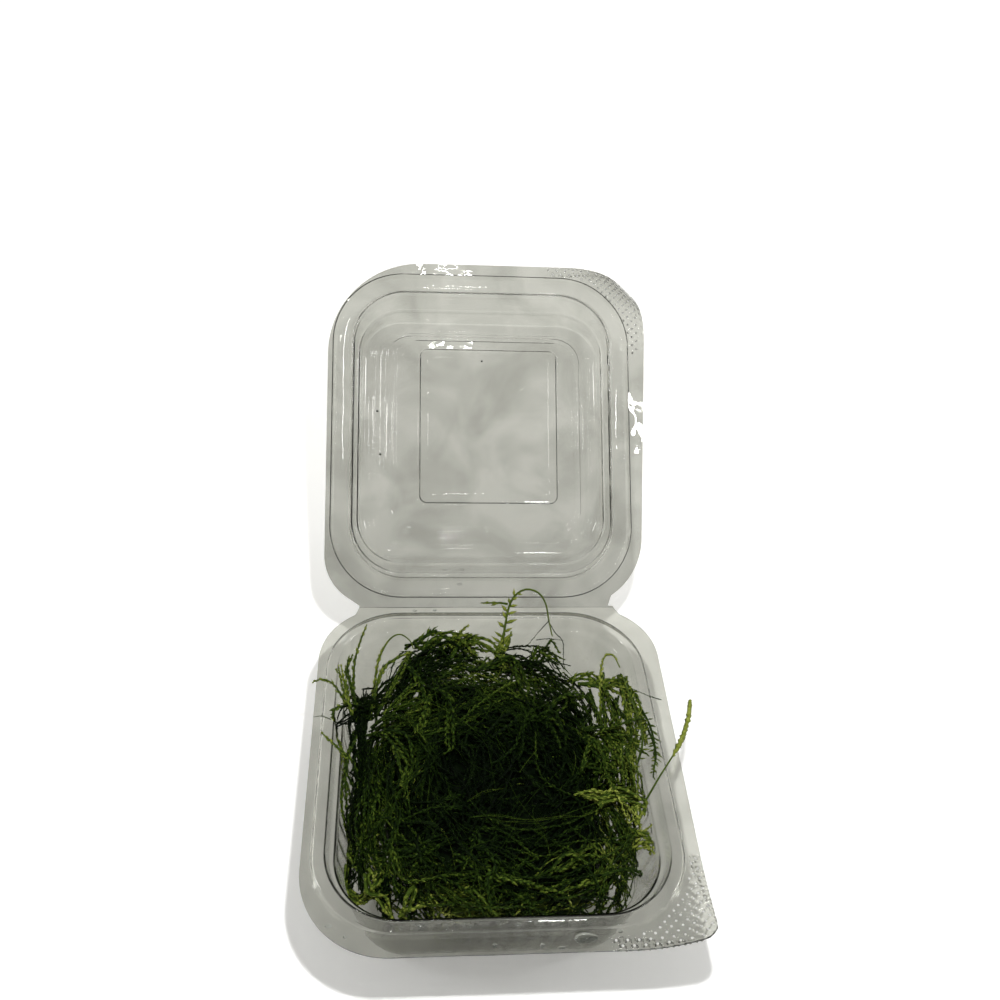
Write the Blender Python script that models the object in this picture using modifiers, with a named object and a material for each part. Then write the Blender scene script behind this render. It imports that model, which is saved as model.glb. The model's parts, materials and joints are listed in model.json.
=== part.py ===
"""A portion of aquarium moss in a clear hinged box, lid open.

Metres, +Z up. The origin is the middle of the tray's flat foot, the hinge runs along X at the back (+Y), and the
thumb tabs are at the front right when the lid is shut.
"""
import math

import bmesh
import bpy
from mathutils import Vector, noise
from mathutils.bvhtree import BVHTree

MM = 0.001

# The box: outer bead outline, and how far the flat rim stands out of it on each side
BEAD_WIDTH = 106.9 * MM
BEAD_DEPTH = 117.2 * MM
BEAD_CORNER = 25.0 * MM
RIM_LEFT = 2.3 * MM
RIM_RIGHT = 5.8 * MM
RIM_FRONT = 4.6 * MM
RIM_BACK = 3.6 * MM
RIM_TAPER = 2.2 * MM
RIM_HEIGHT = 38.0 * MM
SHEET = 0.45 * MM
HINGE_END_INSET = 12.5 * MM
HINGE_END_ANGLE = 58.0
CLEARANCE = 0.4 * MM
HINGE_HALF_GAP = 0.2 * MM
LID_OPEN = 138.0

# Rim corners: front left, thumb tab, back right, back left
TRAY_RIM_CORNERS = (25.5 * MM, 4.5 * MM, 23.0 * MM, 24.0 * MM)
LID_RIM_CORNERS = (30.0 * MM, 4.5 * MM, 24.0 * MM, 18.0 * MM)

# The thumb tabs bend upwards about a crease across the corner: its distance from the corner, and the bend's radius
TAB_CREASE = 20.0 * MM
TRAY_TAB_BEND = 28.0 * MM
LID_TAB_BEND = 15.0 * MM

# Tray section, from the bead's foot to the floor: inset, height over the foot
TRAY_SECTION = (
    (0.0, 38.0),
    (0.9, 40.4),
    (4.4, 40.6),
    (5.8, 36.5),
    (7.0, 36.1),
    (7.6, 33.5),
    (13.2, 5.0),
    (14.4, 1.6),
    (16.4, 0.45),
)
RIB_ROWS = (5, 6)
RIB_RELIEF = 0.45 * MM
RIB_STEPS = 22
TRAY_CORNER_STEPS = 5
INSET_TO_CORNER = 0.85

# Lid section when shut, from the bead to the top panel: inset across, inset along, height over the rim
LID_SECTION = (
    (-0.4, -0.4, 0.4),
    (0.4, 0.4, 3.0),
    (4.9, 4.9, 3.2),
    (6.3, 6.3, -0.6),
    (7.2, 7.8, -0.6),
    (8.3, 11.2, 5.4),
    (8.8, 12.0, 5.6),
    (9.8, 14.6, 10.0),
    (11.4, 17.2, 11.6),
)
LID_SIDE_STEPS = 4
LID_CORNER_STEPS = 6
PANEL_RECTANGLE = (51.0 * MM, 58.0 * MM)
PANEL_RECTANGLE_CENTRE = (3.2 * MM, -5.0 * MM)
PANEL_RECTANGLE_CORNER = 2.5 * MM
PANEL_RECTANGLE_RISE = 0.9 * MM
PANEL_RECTANGLE_SLOPE = 0.8 * MM

# The moss: half sizes of the clump's rounded block and its lumps
CLUMP_HALF = (46.0 * MM, 51.4 * MM, 20.0 * MM)
CLUMP_CENTRE = (0.4 * MM, -0.4 * MM, 20.5 * MM)
CLUMP_SQUARENESS = 3.8
CLUMP_LUMPS = ((3.0 * MM, 0.45), (4.2 * MM, 0.2))
CLUMP_FLOOR = 0.8 * MM
CLUMP_BAY_ANGLE = 48.0
CLUMP_BAY_SPREAD = 24.0
CLUMP_BAY_DEPTH = 0.17
WALL_GAP = 0.9 * MM
WALL_LEAN = 0.2
MOSS_GAP = 0.75 * MM
FROND_THICKNESS = 0.6 * MM
LEAFLET_PITCH = 2.3 * MM
LEAFLET_LEAN = 0.4 * LEAFLET_PITCH
STEM_HALF_WIDTH = 0.45 * MM
ROUTE_STEPS = 12
ROOT_ROWS = 3

# Each frond: its route in millimetres, the leaflets' reach, and the part of the route that bears leaflets
FRONDS = {
    "frond_arching": (
        ((4.8, 38.7, 38.0), (5.3, 41.2, 42.5), (6.1, 45.0, 47.2), (7.3, 48.3, 53.0), (9.4, 49.3, 57.5),
         (12.9, 49.4, 59.9), (17.0, 48.7, 58.7), (19.5, 46.9, 55.2), (20.8, 45.1, 49.5), (22.0, 42.1, 45.4)),
        2.1 * MM, (0.0, 0.48)),
    "frond_arching_twig": (
        ((3.9, 49.4, 53.2), (1.2, 49.6, 53.2), (-1.9, 50.2, 52.4)), 0.8 * MM, (0.2, 0.9)),
    "frond_back": (
        ((-11.3, 44.4, 39.5), (-9.7, 46.0, 41.0), (-7.7, 47.0, 43.0), (-6.0, 47.8, 44.2)), 1.0 * MM, (0.2, 1.0)),
    "frond_left_back": (
        ((-43.5, 23.4, 39.0), (-43.7, 27.9, 41.3), (-43.4, 32.4, 44.3), (-42.0, 36.6, 47.7), (-40.0, 41.2, 50.9)),
        1.3 * MM, (0.1, 0.95)),
    "frond_left_edge": (
        ((-44.6, 16.5, 39.0), (-47.3, 19.5, 42.9), (-50.1, 22.6, 44.6), (-53.3, 23.6, 45.4), (-55.9, 23.1, 44.8)),
        1.4 * MM, (0.2, 0.95)),
    "frond_left_arch": (
        ((-37.0, 27.2, 39.0), (-36.4, 31.4, 41.6), (-35.0, 35.2, 44.6), (-32.2, 39.5, 46.6), (-28.9, 40.9, 47.4),
         (-25.6, 40.1, 45.2), (-24.4, 38.8, 42.6)), 1.5 * MM, (0.1, 0.6)),
    "frond_left_low": (
        ((-42.0, -4.6, 39.0), (-45.0, -2.2, 41.6), (-48.5, 0.9, 42.8), (-51.8, 3.9, 43.4)), 1.2 * MM, (0.2, 0.95)),
    "frond_right_arch": (
        ((34.5, 13.4, 39.5), (35.9, 20.5, 41.5), (36.6, 27.0, 43.4), (38.4, 32.3, 45.4), (41.2, 32.0, 46.4),
         (42.9, 27.9, 45.4)), 1.4 * MM, (0.1, 1.0)),
    "frond_right_side": (
        ((43.0, -7.6, 40.0), (45.5, -2.0, 42.4), (46.3, 3.6, 43.4), (45.6, 9.6, 44.4), (44.2, 16.4, 45.4),
         (43.2, 22.2, 46.0)), 1.7 * MM, (0.1, 1.0)),
    "sprig_right": (
        ((45.0, -17.2, 40.0), (48.6, -13.2, 42.2), (51.8, -9.2, 43.4), (54.4, -6.0, 44.6), (57.0, -2.6, 46.4),
         (59.0, 1.2, 48.2), (60.4, 4.9, 49.8), (61.4, 8.8, 50.8)), 0.9 * MM, (0.55, 1.0)),
}
FROND_FACING = Vector((-0.10, -0.62, 0.78))

COLLECTION_NAME = "aquarium_moss_box"


def start_collection():
    for old in list(bpy.data.objects):
        bpy.data.objects.remove(old, do_unlink=True)
    group = bpy.data.collections.new(COLLECTION_NAME)
    bpy.context.scene.collection.children.link(group)
    return group


def principled(name, colour, roughness, transmission=0.0, ior=1.45):
    material = bpy.data.materials.new(name)
    material.use_nodes = True
    shader = material.node_tree.nodes["Principled BSDF"]
    shader.inputs["Base Color"].default_value = (*colour, 1.0)
    shader.inputs["Roughness"].default_value = roughness
    shader.inputs["Metallic"].default_value = 0.0
    shader.inputs["Transmission Weight"].default_value = transmission
    shader.inputs["IOR"].default_value = ior
    return material


def arc(radius, steps, last_angle=90.0):
    """Distances from a corner's two edges, along its rounding, starting on the edge across X."""
    angles = [math.radians(last_angle * i / steps) for i in range(steps + 1)]
    return [(radius * (1 - math.cos(a)), radius * (1 - math.sin(a))) for a in angles]


def hinge_corner(radius, steps):
    """A corner whose rounding stops short and runs straight into the hinge's end."""
    return arc(radius, steps - 1, HINGE_END_ANGLE) + [(HINGE_END_INSET, 0.0)]


def ring(box, corners, side_steps, height, relief=0.0):
    """Points round a box with the given corners, counterclockwise from the front left."""
    x0, x1, y0, y1 = box
    front_left, front_right, back_right, back_left = corners
    turned = (
        [(x0 + a, y0 + b) for a, b in front_left],
        [(x1 - a, y0 + b) for a, b in reversed(front_right)],
        [(x1 - a, y1 - b) for a, b in back_right],
        [(x0 + a, y1 - b) for a, b in reversed(back_left)],
    )
    outward = ((0, -1), (1, 0), (0, 1), (-1, 0))
    points = []
    for side, corner in enumerate(turned):
        points += [(x, y, height) for x, y in corner]
        start, end = Vector(corner[-1]), Vector(turned[(side + 1) % 4][0])
        for step in range(1, side_steps):
            x, y = start.lerp(end, step / side_steps)
            push = relief if step % 2 else 0.0
            points.append((x + push * outward[side][0], y + push * outward[side][1], height))
    return points


def bead_box(inset_x, inset_y):
    half_x = BEAD_WIDTH / 2 - inset_x
    half_y = BEAD_DEPTH / 2 - inset_y
    return -half_x, half_x, -half_y, half_y


def rim_box():
    x0, x1, y0, y1 = bead_box(0.0, 0.0)
    return x0 - RIM_LEFT, x1 + RIM_RIGHT, y0 - RIM_FRONT, y1 + RIM_BACK


def rim_corners(radii, steps):
    front_left, tab, back_right, back_left = radii
    return arc(front_left, steps), arc(tab, steps), hinge_corner(back_right, steps), hinge_corner(back_left, steps)


def halfway(first, second):
    """The ring midway between two rings."""
    return [tuple(Vector(a).lerp(Vector(b), 0.5)) for a, b in zip(first, second)]


def bend_tab(points, radius):
    """Bends what lies beyond the thumb tab's crease upwards, on a round bend."""
    corner = Vector((rim_box()[1], rim_box()[2]))
    diagonal = Vector((math.sqrt(0.5), -math.sqrt(0.5)))
    bent = []
    for x, y, z in points:
        beyond = TAB_CREASE + (Vector((x, y)) - corner).dot(diagonal)
        if beyond > 0:
            turn = beyond / radius
            x, y = Vector((x, y)) + diagonal * (radius * math.sin(turn) - beyond)
            z += radius * (1 - math.cos(turn))
        bent.append((x, y, z))
    return bent


def sheet_object(name, rings, facing_up, material, group):
    """A formed sheet: rings joined into one surface, closed by the last ring's face and given its thickness."""
    form = bmesh.new()
    rows = [[form.verts.new(point) for point in points] for points in rings]
    for outer, inner in zip(rows, rows[1:]):
        count = len(outer)
        for i in range(count):
            j = (i + 1) % count
            form.faces.new((outer[i], outer[j], inner[j], inner[i]))
    form.faces.new(rows[-1])
    if not facing_up:
        bmesh.ops.reverse_faces(form, faces=form.faces[:])
    sheet = finish_object(name, form, material, group)
    thicken = sheet.modifiers.new("sheet", "SOLIDIFY")
    thicken.thickness = SHEET
    thicken.offset = -1.0
    thicken.use_even_offset = True
    return sheet


def finish_object(name, form, material, group):
    mesh = bpy.data.meshes.new(name)
    form.to_mesh(mesh)
    form.free()
    mesh.materials.append(material)
    made = bpy.data.objects.new(name, mesh)
    group.objects.link(made)
    return made


def tapered(points):
    """The rim with its right side drawn in towards the front."""
    _, x1, y0, y1 = rim_box()
    return [(x - RIM_TAPER * (y1 - y) / (y1 - y0) * max(x, 0.0) / x1, y, z) for x, y, z in points]


def tray_rings():
    rings = [tapered(ring(rim_box(), rim_corners(TRAY_RIM_CORNERS, TRAY_CORNER_STEPS), RIB_STEPS, RIM_HEIGHT))]
    for row, (inset, height) in enumerate(TRAY_SECTION):
        corner = arc(BEAD_CORNER - INSET_TO_CORNER * inset * MM, TRAY_CORNER_STEPS)
        relief = RIB_RELIEF if row in RIB_ROWS else 0.0
        box = bead_box(inset * MM, inset * MM)
        rings.append(ring(box, (corner,) * 4, RIB_STEPS, height * MM, relief))
    return with_tab(rings, TRAY_TAB_BEND)


def with_tab(rings, bend):
    """The rings with one more in the middle of the rim, and the tab bent."""
    rim, bead = rings[:2]
    return [bend_tab(rim, bend), bend_tab(halfway(rim, bead), bend), *rings[1:]]


def lid_rings():
    """The shut lid's underside, in heights over the foot."""
    corners = rim_corners(LID_RIM_CORNERS, LID_CORNER_STEPS)
    rings = [ring(rim_box(), corners, LID_SIDE_STEPS, RIM_HEIGHT + CLEARANCE)]
    for across, along, height in LID_SECTION:
        corner = arc(BEAD_CORNER - INSET_TO_CORNER * (across + along) / 2 * MM, LID_CORNER_STEPS)
        rings.append(ring(bead_box(across * MM, along * MM), (corner,) * 4, LID_SIDE_STEPS, RIM_HEIGHT + height * MM))
    rings += panel_rectangle_rings(rings[-1][0][2])
    return with_tab(rings, LID_TAB_BEND)


def panel_rectangle_rings(panel):
    """The raised rectangle in the middle of the lid's panel."""
    rings = []
    width, depth = PANEL_RECTANGLE
    for shrink, rise in ((0.0, 0.0), (PANEL_RECTANGLE_SLOPE, PANEL_RECTANGLE_RISE)):
        half_x, half_y = width / 2 - shrink, depth / 2 - shrink
        cx, cy = PANEL_RECTANGLE_CENTRE
        box = (cx - half_x, cx + half_x, cy - half_y, cy + half_y)
        corner = arc(PANEL_RECTANGLE_CORNER, LID_CORNER_STEPS)
        rings.append(ring(box, (corner,) * 4, LID_SIDE_STEPS, panel + rise))
    return rings


def hinge_axis():
    return Vector((0.0, rim_box()[3] + HINGE_HALF_GAP, RIM_HEIGHT + CLEARANCE / 2))


def build_tray(plastic, group):
    return sheet_object("tray", tray_rings(), True, plastic, group)


def build_lid(plastic, group):
    """The lid is made shut, round the hinge's axis, and turned open about it."""
    axis = hinge_axis()
    pivot = bpy.data.objects.new("lid_pivot", None)
    pivot.location = axis
    pivot.rotation_euler.x = math.radians(-LID_OPEN)
    group.objects.link(pivot)
    rings = [[tuple(Vector(point) - axis) for point in points] for points in lid_rings()]
    lid = sheet_object("lid", rings, False, plastic, group)
    lid.parent = pivot
    return lid


def wall_half(height, axis):
    """Half the tray's inner width (axis 0) or depth (axis 1) at a height, at the foot of its ribs."""
    foot_inset, foot_height = TRAY_SECTION[RIB_ROWS[1]]
    inset = foot_inset * MM - WALL_LEAN * (height - foot_height * MM)
    return (BEAD_WIDTH, BEAD_DEPTH)[axis] / 2 - inset - WALL_GAP


def clump_point(direction):
    """Where the moss's surface lies in a direction from the clump's middle."""
    power = CLUMP_SQUARENESS
    size = sum(abs(value) ** power for value in direction) ** (-1 / power)
    lump = sum(height * noise.noise(direction / spread) for height, spread in CLUMP_LUMPS)
    angle = math.degrees(math.atan2(direction.y, direction.x))
    bay = CLUMP_BAY_DEPTH * math.exp(-((angle - CLUMP_BAY_ANGLE) / CLUMP_BAY_SPREAD) ** 2)
    plan = size * (1 - bay)
    x = CLUMP_CENTRE[0] + direction.x * (plan * CLUMP_HALF[0] + lump)
    y = CLUMP_CENTRE[1] + direction.y * (plan * CLUMP_HALF[1] + lump)
    z = max(CLUMP_CENTRE[2] + direction.z * (size * CLUMP_HALF[2] + lump), CLUMP_FLOOR)
    limits = [wall_half(z, axis) for axis in (0, 1)]
    lean = [limit / wall_half(RIM_HEIGHT, axis) for axis, limit in enumerate(limits)]
    x = max(-limits[0], min(limits[0], x * lean[0]))
    y = max(-limits[1], min(limits[1], y * lean[1]))
    return Vector((x, y, z))


def build_clump(moss, group):
    form = bmesh.new()
    bmesh.ops.create_icosphere(form, subdivisions=4, radius=1.0)
    for vertex in form.verts:
        vertex.co = clump_point(vertex.co.normalized())
    clump = finish_object("moss_clump", form, moss, group)
    clump.data.shade_smooth()
    return clump


def smooth_route(points, spacing):
    """Evenly spaced places along a smooth curve through the points."""
    knots = [Vector(point) * MM for point in points]
    padded = [2 * knots[0] - knots[1], *knots, 2 * knots[-1] - knots[-2]]
    fine = []
    for a, b, c, d in zip(padded, padded[1:], padded[2:], padded[3:]):
        for step in range(ROUTE_STEPS):
            t = step / ROUTE_STEPS
            fine.append(0.5 * ((2 * b) + (c - a) * t + (2 * a - 5 * b + 4 * c - d) * t * t
                               + (3 * b - a - 3 * c + d) * t ** 3))
    fine.append(knots[-1])
    lengths = [0.0]
    for a, b in zip(fine, fine[1:]):
        lengths.append(lengths[-1] + (b - a).length)
    count = max(4, round(lengths[-1] / spacing))
    route = []
    for k in range(count + 1):
        wanted = lengths[-1] * k / count
        i = next((n for n, far in enumerate(lengths[1:]) if far >= wanted), len(lengths) - 2)
        share = (wanted - lengths[i]) / (lengths[i + 1] - lengths[i])
        route.append(fine[i].lerp(fine[i + 1], share))
    return route


def lifted(place, clump_tree, gap):
    """The place, moved out of the clump until it keeps the gap to it."""
    nearest, normal, _, distance = clump_tree.find_nearest(place)
    inside = (place - nearest).dot(normal) < 0
    if inside or distance < gap:
        return nearest + normal * gap
    return place


def build_frond(name, route, reach, leafy, clump_tree, moss, group):
    """A flat frond along its route: paired leaflets are teeth that point forward, and the rest is bare stem."""
    places = smooth_route(route, LEAFLET_PITCH / 2)
    last = len(places) - 1
    places = [lifted(p, clump_tree, MOSS_GAP + reach * min(1.0, i / ROOT_ROWS)) for i, p in enumerate(places)]
    form = bmesh.new()
    rows = []
    for i, place in enumerate(places):
        ahead = (places[min(i + 1, last)] - places[max(i - 1, 0)]).normalized()
        side = ahead.cross(FROND_FACING).normalized()
        share = i / last
        tooth = i % 2 == 1 and leafy[0] <= share <= leafy[1]
        width = reach if tooth else STEM_HALF_WIDTH
        forward = ahead * (LEAFLET_LEAN if tooth else 0.0)
        rows.append([form.verts.new(place + forward + side * width), form.verts.new(place),
                     form.verts.new(place + forward - side * width)])
    for before, after in zip(rows, rows[1:]):
        for k in (0, 1):
            form.faces.new((before[k], before[k + 1], after[k + 1], after[k]))
    frond = finish_object(name, form, moss, group)
    thicken = frond.modifiers.new("thickness", "SOLIDIFY")
    thicken.thickness = FROND_THICKNESS
    thicken.offset = 0.0
    return frond


def main():
    group = start_collection()
    plastic = principled("clear_plastic", (0.86, 0.87, 0.84), 0.05, transmission=1.0, ior=1.57)
    moss = principled("moss", (0.03, 0.06, 0.012), 0.45)
    build_tray(plastic, group)
    build_lid(plastic, group)
    clump = build_clump(moss, group)
    clump_tree = BVHTree.FromPolygons([v.co.copy() for v in clump.data.vertices],
                                      [tuple(p.vertices) for p in clump.data.polygons])
    for name, (route, reach, leafy) in FRONDS.items():
        build_frond(name, route, reach, leafy, clump_tree, moss, group)


main()
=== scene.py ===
"""Finishes, fine meshes, camera and light for the aquarium moss in its clear hinged box.

Metres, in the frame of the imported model: the origin is the middle of the tray's foot, and the hinge is at the back (+Y).
"""
import json
import math
import random
from collections import namedtuple

import bmesh
import bpy
import numpy as np
from mathutils import Matrix, Vector, noise


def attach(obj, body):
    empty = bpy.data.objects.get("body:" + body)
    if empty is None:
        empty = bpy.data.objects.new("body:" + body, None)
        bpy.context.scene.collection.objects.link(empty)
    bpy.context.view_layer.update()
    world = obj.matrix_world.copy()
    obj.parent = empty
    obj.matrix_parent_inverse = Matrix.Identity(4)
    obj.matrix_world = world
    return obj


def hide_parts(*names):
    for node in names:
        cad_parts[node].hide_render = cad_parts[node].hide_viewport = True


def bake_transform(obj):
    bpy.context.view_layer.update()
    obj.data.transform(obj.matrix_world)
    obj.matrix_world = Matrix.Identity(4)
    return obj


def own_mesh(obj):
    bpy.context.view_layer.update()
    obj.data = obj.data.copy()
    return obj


MM = 0.001

# The box's driving sizes, as in the solids
BEAD_WIDTH = 106.9 * MM
BEAD_DEPTH = 117.2 * MM
BEAD_CORNER = 25.0 * MM
RIM_LEFT = 2.3 * MM
RIM_RIGHT = 5.8 * MM
RIM_FRONT = 4.6 * MM
RIM_BACK = 3.6 * MM
RIM_TAPER = 2.2 * MM
RIM_HEIGHT = 38.0 * MM
SHEET = 0.45 * MM
HINGE_END_INSET = 12.5 * MM
HINGE_END_ANGLE = 58.0
CLEARANCE = 0.4 * MM
LID_OPEN = 138.0
TRAY_RIM_CORNERS = (25.5 * MM, 4.5 * MM, 23.0 * MM, 24.0 * MM)
LID_RIM_CORNERS = (34.0 * MM, 4.5 * MM, 24.0 * MM, 18.0 * MM)
LID_SLANT = (-2.0 * MM, 2.4 * MM)
TAB_CREASE = 20.0 * MM
TRAY_TAB_BEND = 28.0 * MM
LID_TAB_BEND = 15.0 * MM
INSET_TO_CORNER = 0.85

# Sections from the bead's foot inwards, in millimetres: inset across, inset along, height (over the foot, over the rim)
TRAY_SECTION = (
    (0.0, 0.0, 38.0),
    (0.9, 0.9, 40.4),
    (4.4, 4.4, 40.6),
    (5.8, 5.8, 36.5),
    (7.0, 7.0, 36.1),
    (7.6, 7.6, 33.5),
    (13.2, 13.2, 5.0),
    (14.4, 14.4, 1.6),
    (16.4, 16.4, 0.45),
)
LID_SECTION = (
    (-0.4, -0.4, 0.4),
    (0.4, 0.4, 3.0),
    (4.9, 4.9, 3.2),
    (6.3, 6.3, -0.6),
    (7.2, 7.8, -0.6),
    (8.3, 11.2, 5.4),
    (8.8, 12.0, 5.6),
    (9.8, 14.6, 10.0),
    (11.4, 17.2, 11.6),
)
PANEL_RECTANGLE = (51.0 * MM, 58.0 * MM)
PANEL_RECTANGLE_CENTRE = (3.2 * MM, -5.0 * MM)
PANEL_RECTANGLE_CORNER = 2.5 * MM
PANEL_RECTANGLE_RISE = 0.9 * MM
PANEL_RECTANGLE_SLOPE = 0.5 * MM

# How finely the sheets are drawn
CORNER_STEPS = 22
TRAY_SIDE_STEPS = 84
LID_SIDE_STEPS = 40
RIM_STRIPS = 12
FILLET = 0.9
LONGEST_RUN = 2.6
FLOOR_SHARES = (0.86, 0.7, 0.52, 0.34, 0.16)
PANEL_STRIPS = 16
# Faint ridges round the lid's panel: how far across it, how high, and their half width as a share
PANEL_RIDGES = ((0.16, 0.26 * MM), (0.34, -0.22 * MM), (0.50, 0.24 * MM))
RIDGE_SPAN = 0.028
STEP_SHARES = (0.0, 0.25, 0.5, 0.75, 1.0)

# Ribs of the tray's walls, the knurl of the tabs, and the slight waviness of formed sheet
RIBS_PER_SIDE = 11
RIB_RELIEF = 0.5 * MM
RIB_HEIGHTS = (4.5 * MM, 34.0 * MM)
RIB_FADE = 2.5 * MM
KNURL_PITCH = 3.1 * MM
KNURL_HEIGHT = 0.22 * MM
TRAY_KNURL_FROM = (28.0 * MM, -35.0 * MM)
LID_KNURL_FROM = (24.0 * MM, -31.0 * MM)
KNURL_FADE = (0.5 * MM, 1.5 * MM)
KNURL_CUTS = 4
WAVE_HEIGHT = 0.12 * MM
WAVE_LENGTHS = (17.0 * MM, 7.0 * MM)

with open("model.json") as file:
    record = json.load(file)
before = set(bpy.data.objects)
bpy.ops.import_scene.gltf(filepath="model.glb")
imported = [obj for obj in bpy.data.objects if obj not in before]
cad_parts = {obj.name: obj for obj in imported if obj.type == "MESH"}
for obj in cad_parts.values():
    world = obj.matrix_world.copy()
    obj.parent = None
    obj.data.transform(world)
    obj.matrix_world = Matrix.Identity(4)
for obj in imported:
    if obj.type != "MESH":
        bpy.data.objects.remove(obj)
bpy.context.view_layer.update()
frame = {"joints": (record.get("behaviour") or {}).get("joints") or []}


# Formed sheets

def arc(radius, steps, last_angle=90.0):
    """Distances from a corner's two edges, along its rounding, starting on the edge across X."""
    angles = [math.radians(last_angle * i / steps) for i in range(steps + 1)]
    return [(radius * (1 - math.cos(a)), radius * (1 - math.sin(a))) for a in angles]


def hinge_corner(radius, steps):
    """A corner whose rounding stops short and runs straight into the hinge's end."""
    return arc(radius, steps - 1, HINGE_END_ANGLE) + [(HINGE_END_INSET, 0.0)]


def rim_corners(radii):
    front_left, tab, back_right, back_left = radii
    return (arc(front_left, CORNER_STEPS), arc(tab, CORNER_STEPS),
            hinge_corner(back_right, CORNER_STEPS), hinge_corner(back_left, CORNER_STEPS))


def ring(box, corners, side_steps, height):
    """Points round a box with the given corners, counterclockwise from the front left."""
    x0, x1, y0, y1 = box
    front_left, front_right, back_right, back_left = corners
    turned = (
        [(x0 + a, y0 + b) for a, b in front_left],
        [(x1 - a, y0 + b) for a, b in reversed(front_right)],
        [(x1 - a, y1 - b) for a, b in back_right],
        [(x0 + a, y1 - b) for a, b in reversed(back_left)],
    )
    points = []
    for side, corner in enumerate(turned):
        points += [(x, y, height) for x, y in corner]
        start, end = Vector(corner[-1]), Vector(turned[(side + 1) % 4][0])
        for step in range(1, side_steps):
            points.append((*start.lerp(end, step / side_steps), height))
    return np.array(points)


def bead_box(inset_x, inset_y):
    half_x = BEAD_WIDTH / 2 - inset_x
    half_y = BEAD_DEPTH / 2 - inset_y
    return -half_x, half_x, -half_y, half_y


def rim_box():
    x0, x1, y0, y1 = bead_box(0.0, 0.0)
    return x0 - RIM_LEFT, x1 + RIM_RIGHT, y0 - RIM_FRONT, y1 + RIM_BACK


def hinge_axis():
    return Vector(frame["joints"][0]["pos_m"])


def rounded(section, radius=FILLET, steps=4):
    """The section's line, in millimetres, with each inner corner turned into a short curve."""
    points = [Vector(p) for p in section]
    curve = [points[0]]
    for before, corner, after in zip(points, points[1:], points[2:]):
        start = corner + (before - corner).normalized() * min(radius, 0.45 * (before - corner).length)
        end = corner + (after - corner).normalized() * min(radius, 0.45 * (after - corner).length)
        for i in range(steps + 1):
            t = i / steps
            curve.append(start * (1 - t) ** 2 + corner * (2 * t * (1 - t)) + end * t * t)
    curve.append(points[-1])
    return curve


def divided(line):
    """The line with points added, so that no run is longer than LONGEST_RUN."""
    fine = [line[0]]
    for a, b in zip(line, line[1:]):
        runs = max(1, math.ceil((b - a).length / LONGEST_RUN))
        fine += [a.lerp(b, i / runs) for i in range(1, runs + 1)]
    return fine


def blended(first, second, count):
    """Rings evenly between two rings, without the last one."""
    return [first + (second - first) * (i / count) for i in range(count)]


def section_rings(section, side_steps, base):
    """Rings inside the bead's outline, one for each point of the section."""
    rings = []
    for across, along, height in divided(rounded(section)):
        corner = arc(BEAD_CORNER - INSET_TO_CORNER * (across + along) / 2 * MM, CORNER_STEPS)
        rings.append(ring(bead_box(across * MM, along * MM), (corner,) * 4, side_steps, base + height * MM))
    return rings


def shrunk(points, shares):
    centre = points.mean(axis=0)
    return [centre + (points - centre) * share for share in shares]


def ribbed(rings):
    """The tray's rings with the walls' ribs pushed out of their straight sides."""
    span = CORNER_STEPS + TRAY_SIDE_STEPS
    outward = ((0, -1), (1, 0), (0, 1), (-1, 0))
    for points in rings:
        height = points[0, 2]
        low, high = RIB_HEIGHTS
        fade = min(smooth((height - low) / RIB_FADE), smooth((high - height) / RIB_FADE))
        for side, (dx, dy) in enumerate(outward):
            first = side * span + CORNER_STEPS
            for step in range(TRAY_SIDE_STEPS + 1):
                turn = 2 * math.pi * RIBS_PER_SIDE * step / TRAY_SIDE_STEPS
                push = fade * RIB_RELIEF * (1 - math.cos(turn)) / 2
                points[(first + step) % len(points), :2] += (push * dx, push * dy)
    return rings


def smooth(share):
    share = max(0.0, min(1.0, share))
    return share * share * (3 - 2 * share)


def tapered(points):
    """The tray's rim with its right side drawn in towards the front."""
    _, x1, y0, y1 = rim_box()
    points[:, 0] -= RIM_TAPER * (y1 - points[:, 1]) / (y1 - y0) * np.maximum(points[:, 0], 0.0) / x1
    return points


def slanted(points):
    """The lid's rim with its right side leaning out at the front and in at the hinge."""
    _, x1, y0, y1 = rim_box()
    lean = np.interp(points[:, 1], (y0, y1), LID_SLANT)
    points[:, 0] -= lean * np.maximum(points[:, 0], 0.0) / x1
    return points


def tray_rings():
    """The rings from the rim's edge to the middle of the foot."""
    rim = tapered(ring(rim_box(), rim_corners(TRAY_RIM_CORNERS), TRAY_SIDE_STEPS, RIM_HEIGHT))
    inner = ribbed(section_rings(TRAY_SECTION, TRAY_SIDE_STEPS, 0.0))
    return blended(rim, inner[0], RIM_STRIPS) + inner + shrunk(inner[-1], FLOOR_SHARES)


def rectangle_rings(panel):
    """The raised rectangle in the middle of the lid's panel."""
    rings = []
    width, depth = PANEL_RECTANGLE
    cx, cy = PANEL_RECTANGLE_CENTRE
    corner = arc(PANEL_RECTANGLE_CORNER, CORNER_STEPS)
    for share in STEP_SHARES:
        half_x = width / 2 - PANEL_RECTANGLE_SLOPE * share
        half_y = depth / 2 - PANEL_RECTANGLE_SLOPE * share
        box = (cx - half_x, cx + half_x, cy - half_y, cy + half_y)
        rings.append(ring(box, (corner,) * 4, LID_SIDE_STEPS, panel + PANEL_RECTANGLE_RISE * smooth(share)))
    return rings


def panel_rings(first, last):
    """Rings across the lid's flat panel, with its faint ridges."""
    heights = {i / PANEL_STRIPS: 0.0 for i in range(1, PANEL_STRIPS)}
    for share, height in PANEL_RIDGES:
        heights = {s: h for s, h in heights.items() if abs(s - share) > 2 * RIDGE_SPAN}
        heights.update({share - RIDGE_SPAN: 0.0, share: height, share + RIDGE_SPAN: 0.0})
    rings = []
    for share, height in sorted(heights.items()):
        points = first + (last - first) * share
        points[:, 2] += height
        rings.append(points)
    return rings


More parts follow.
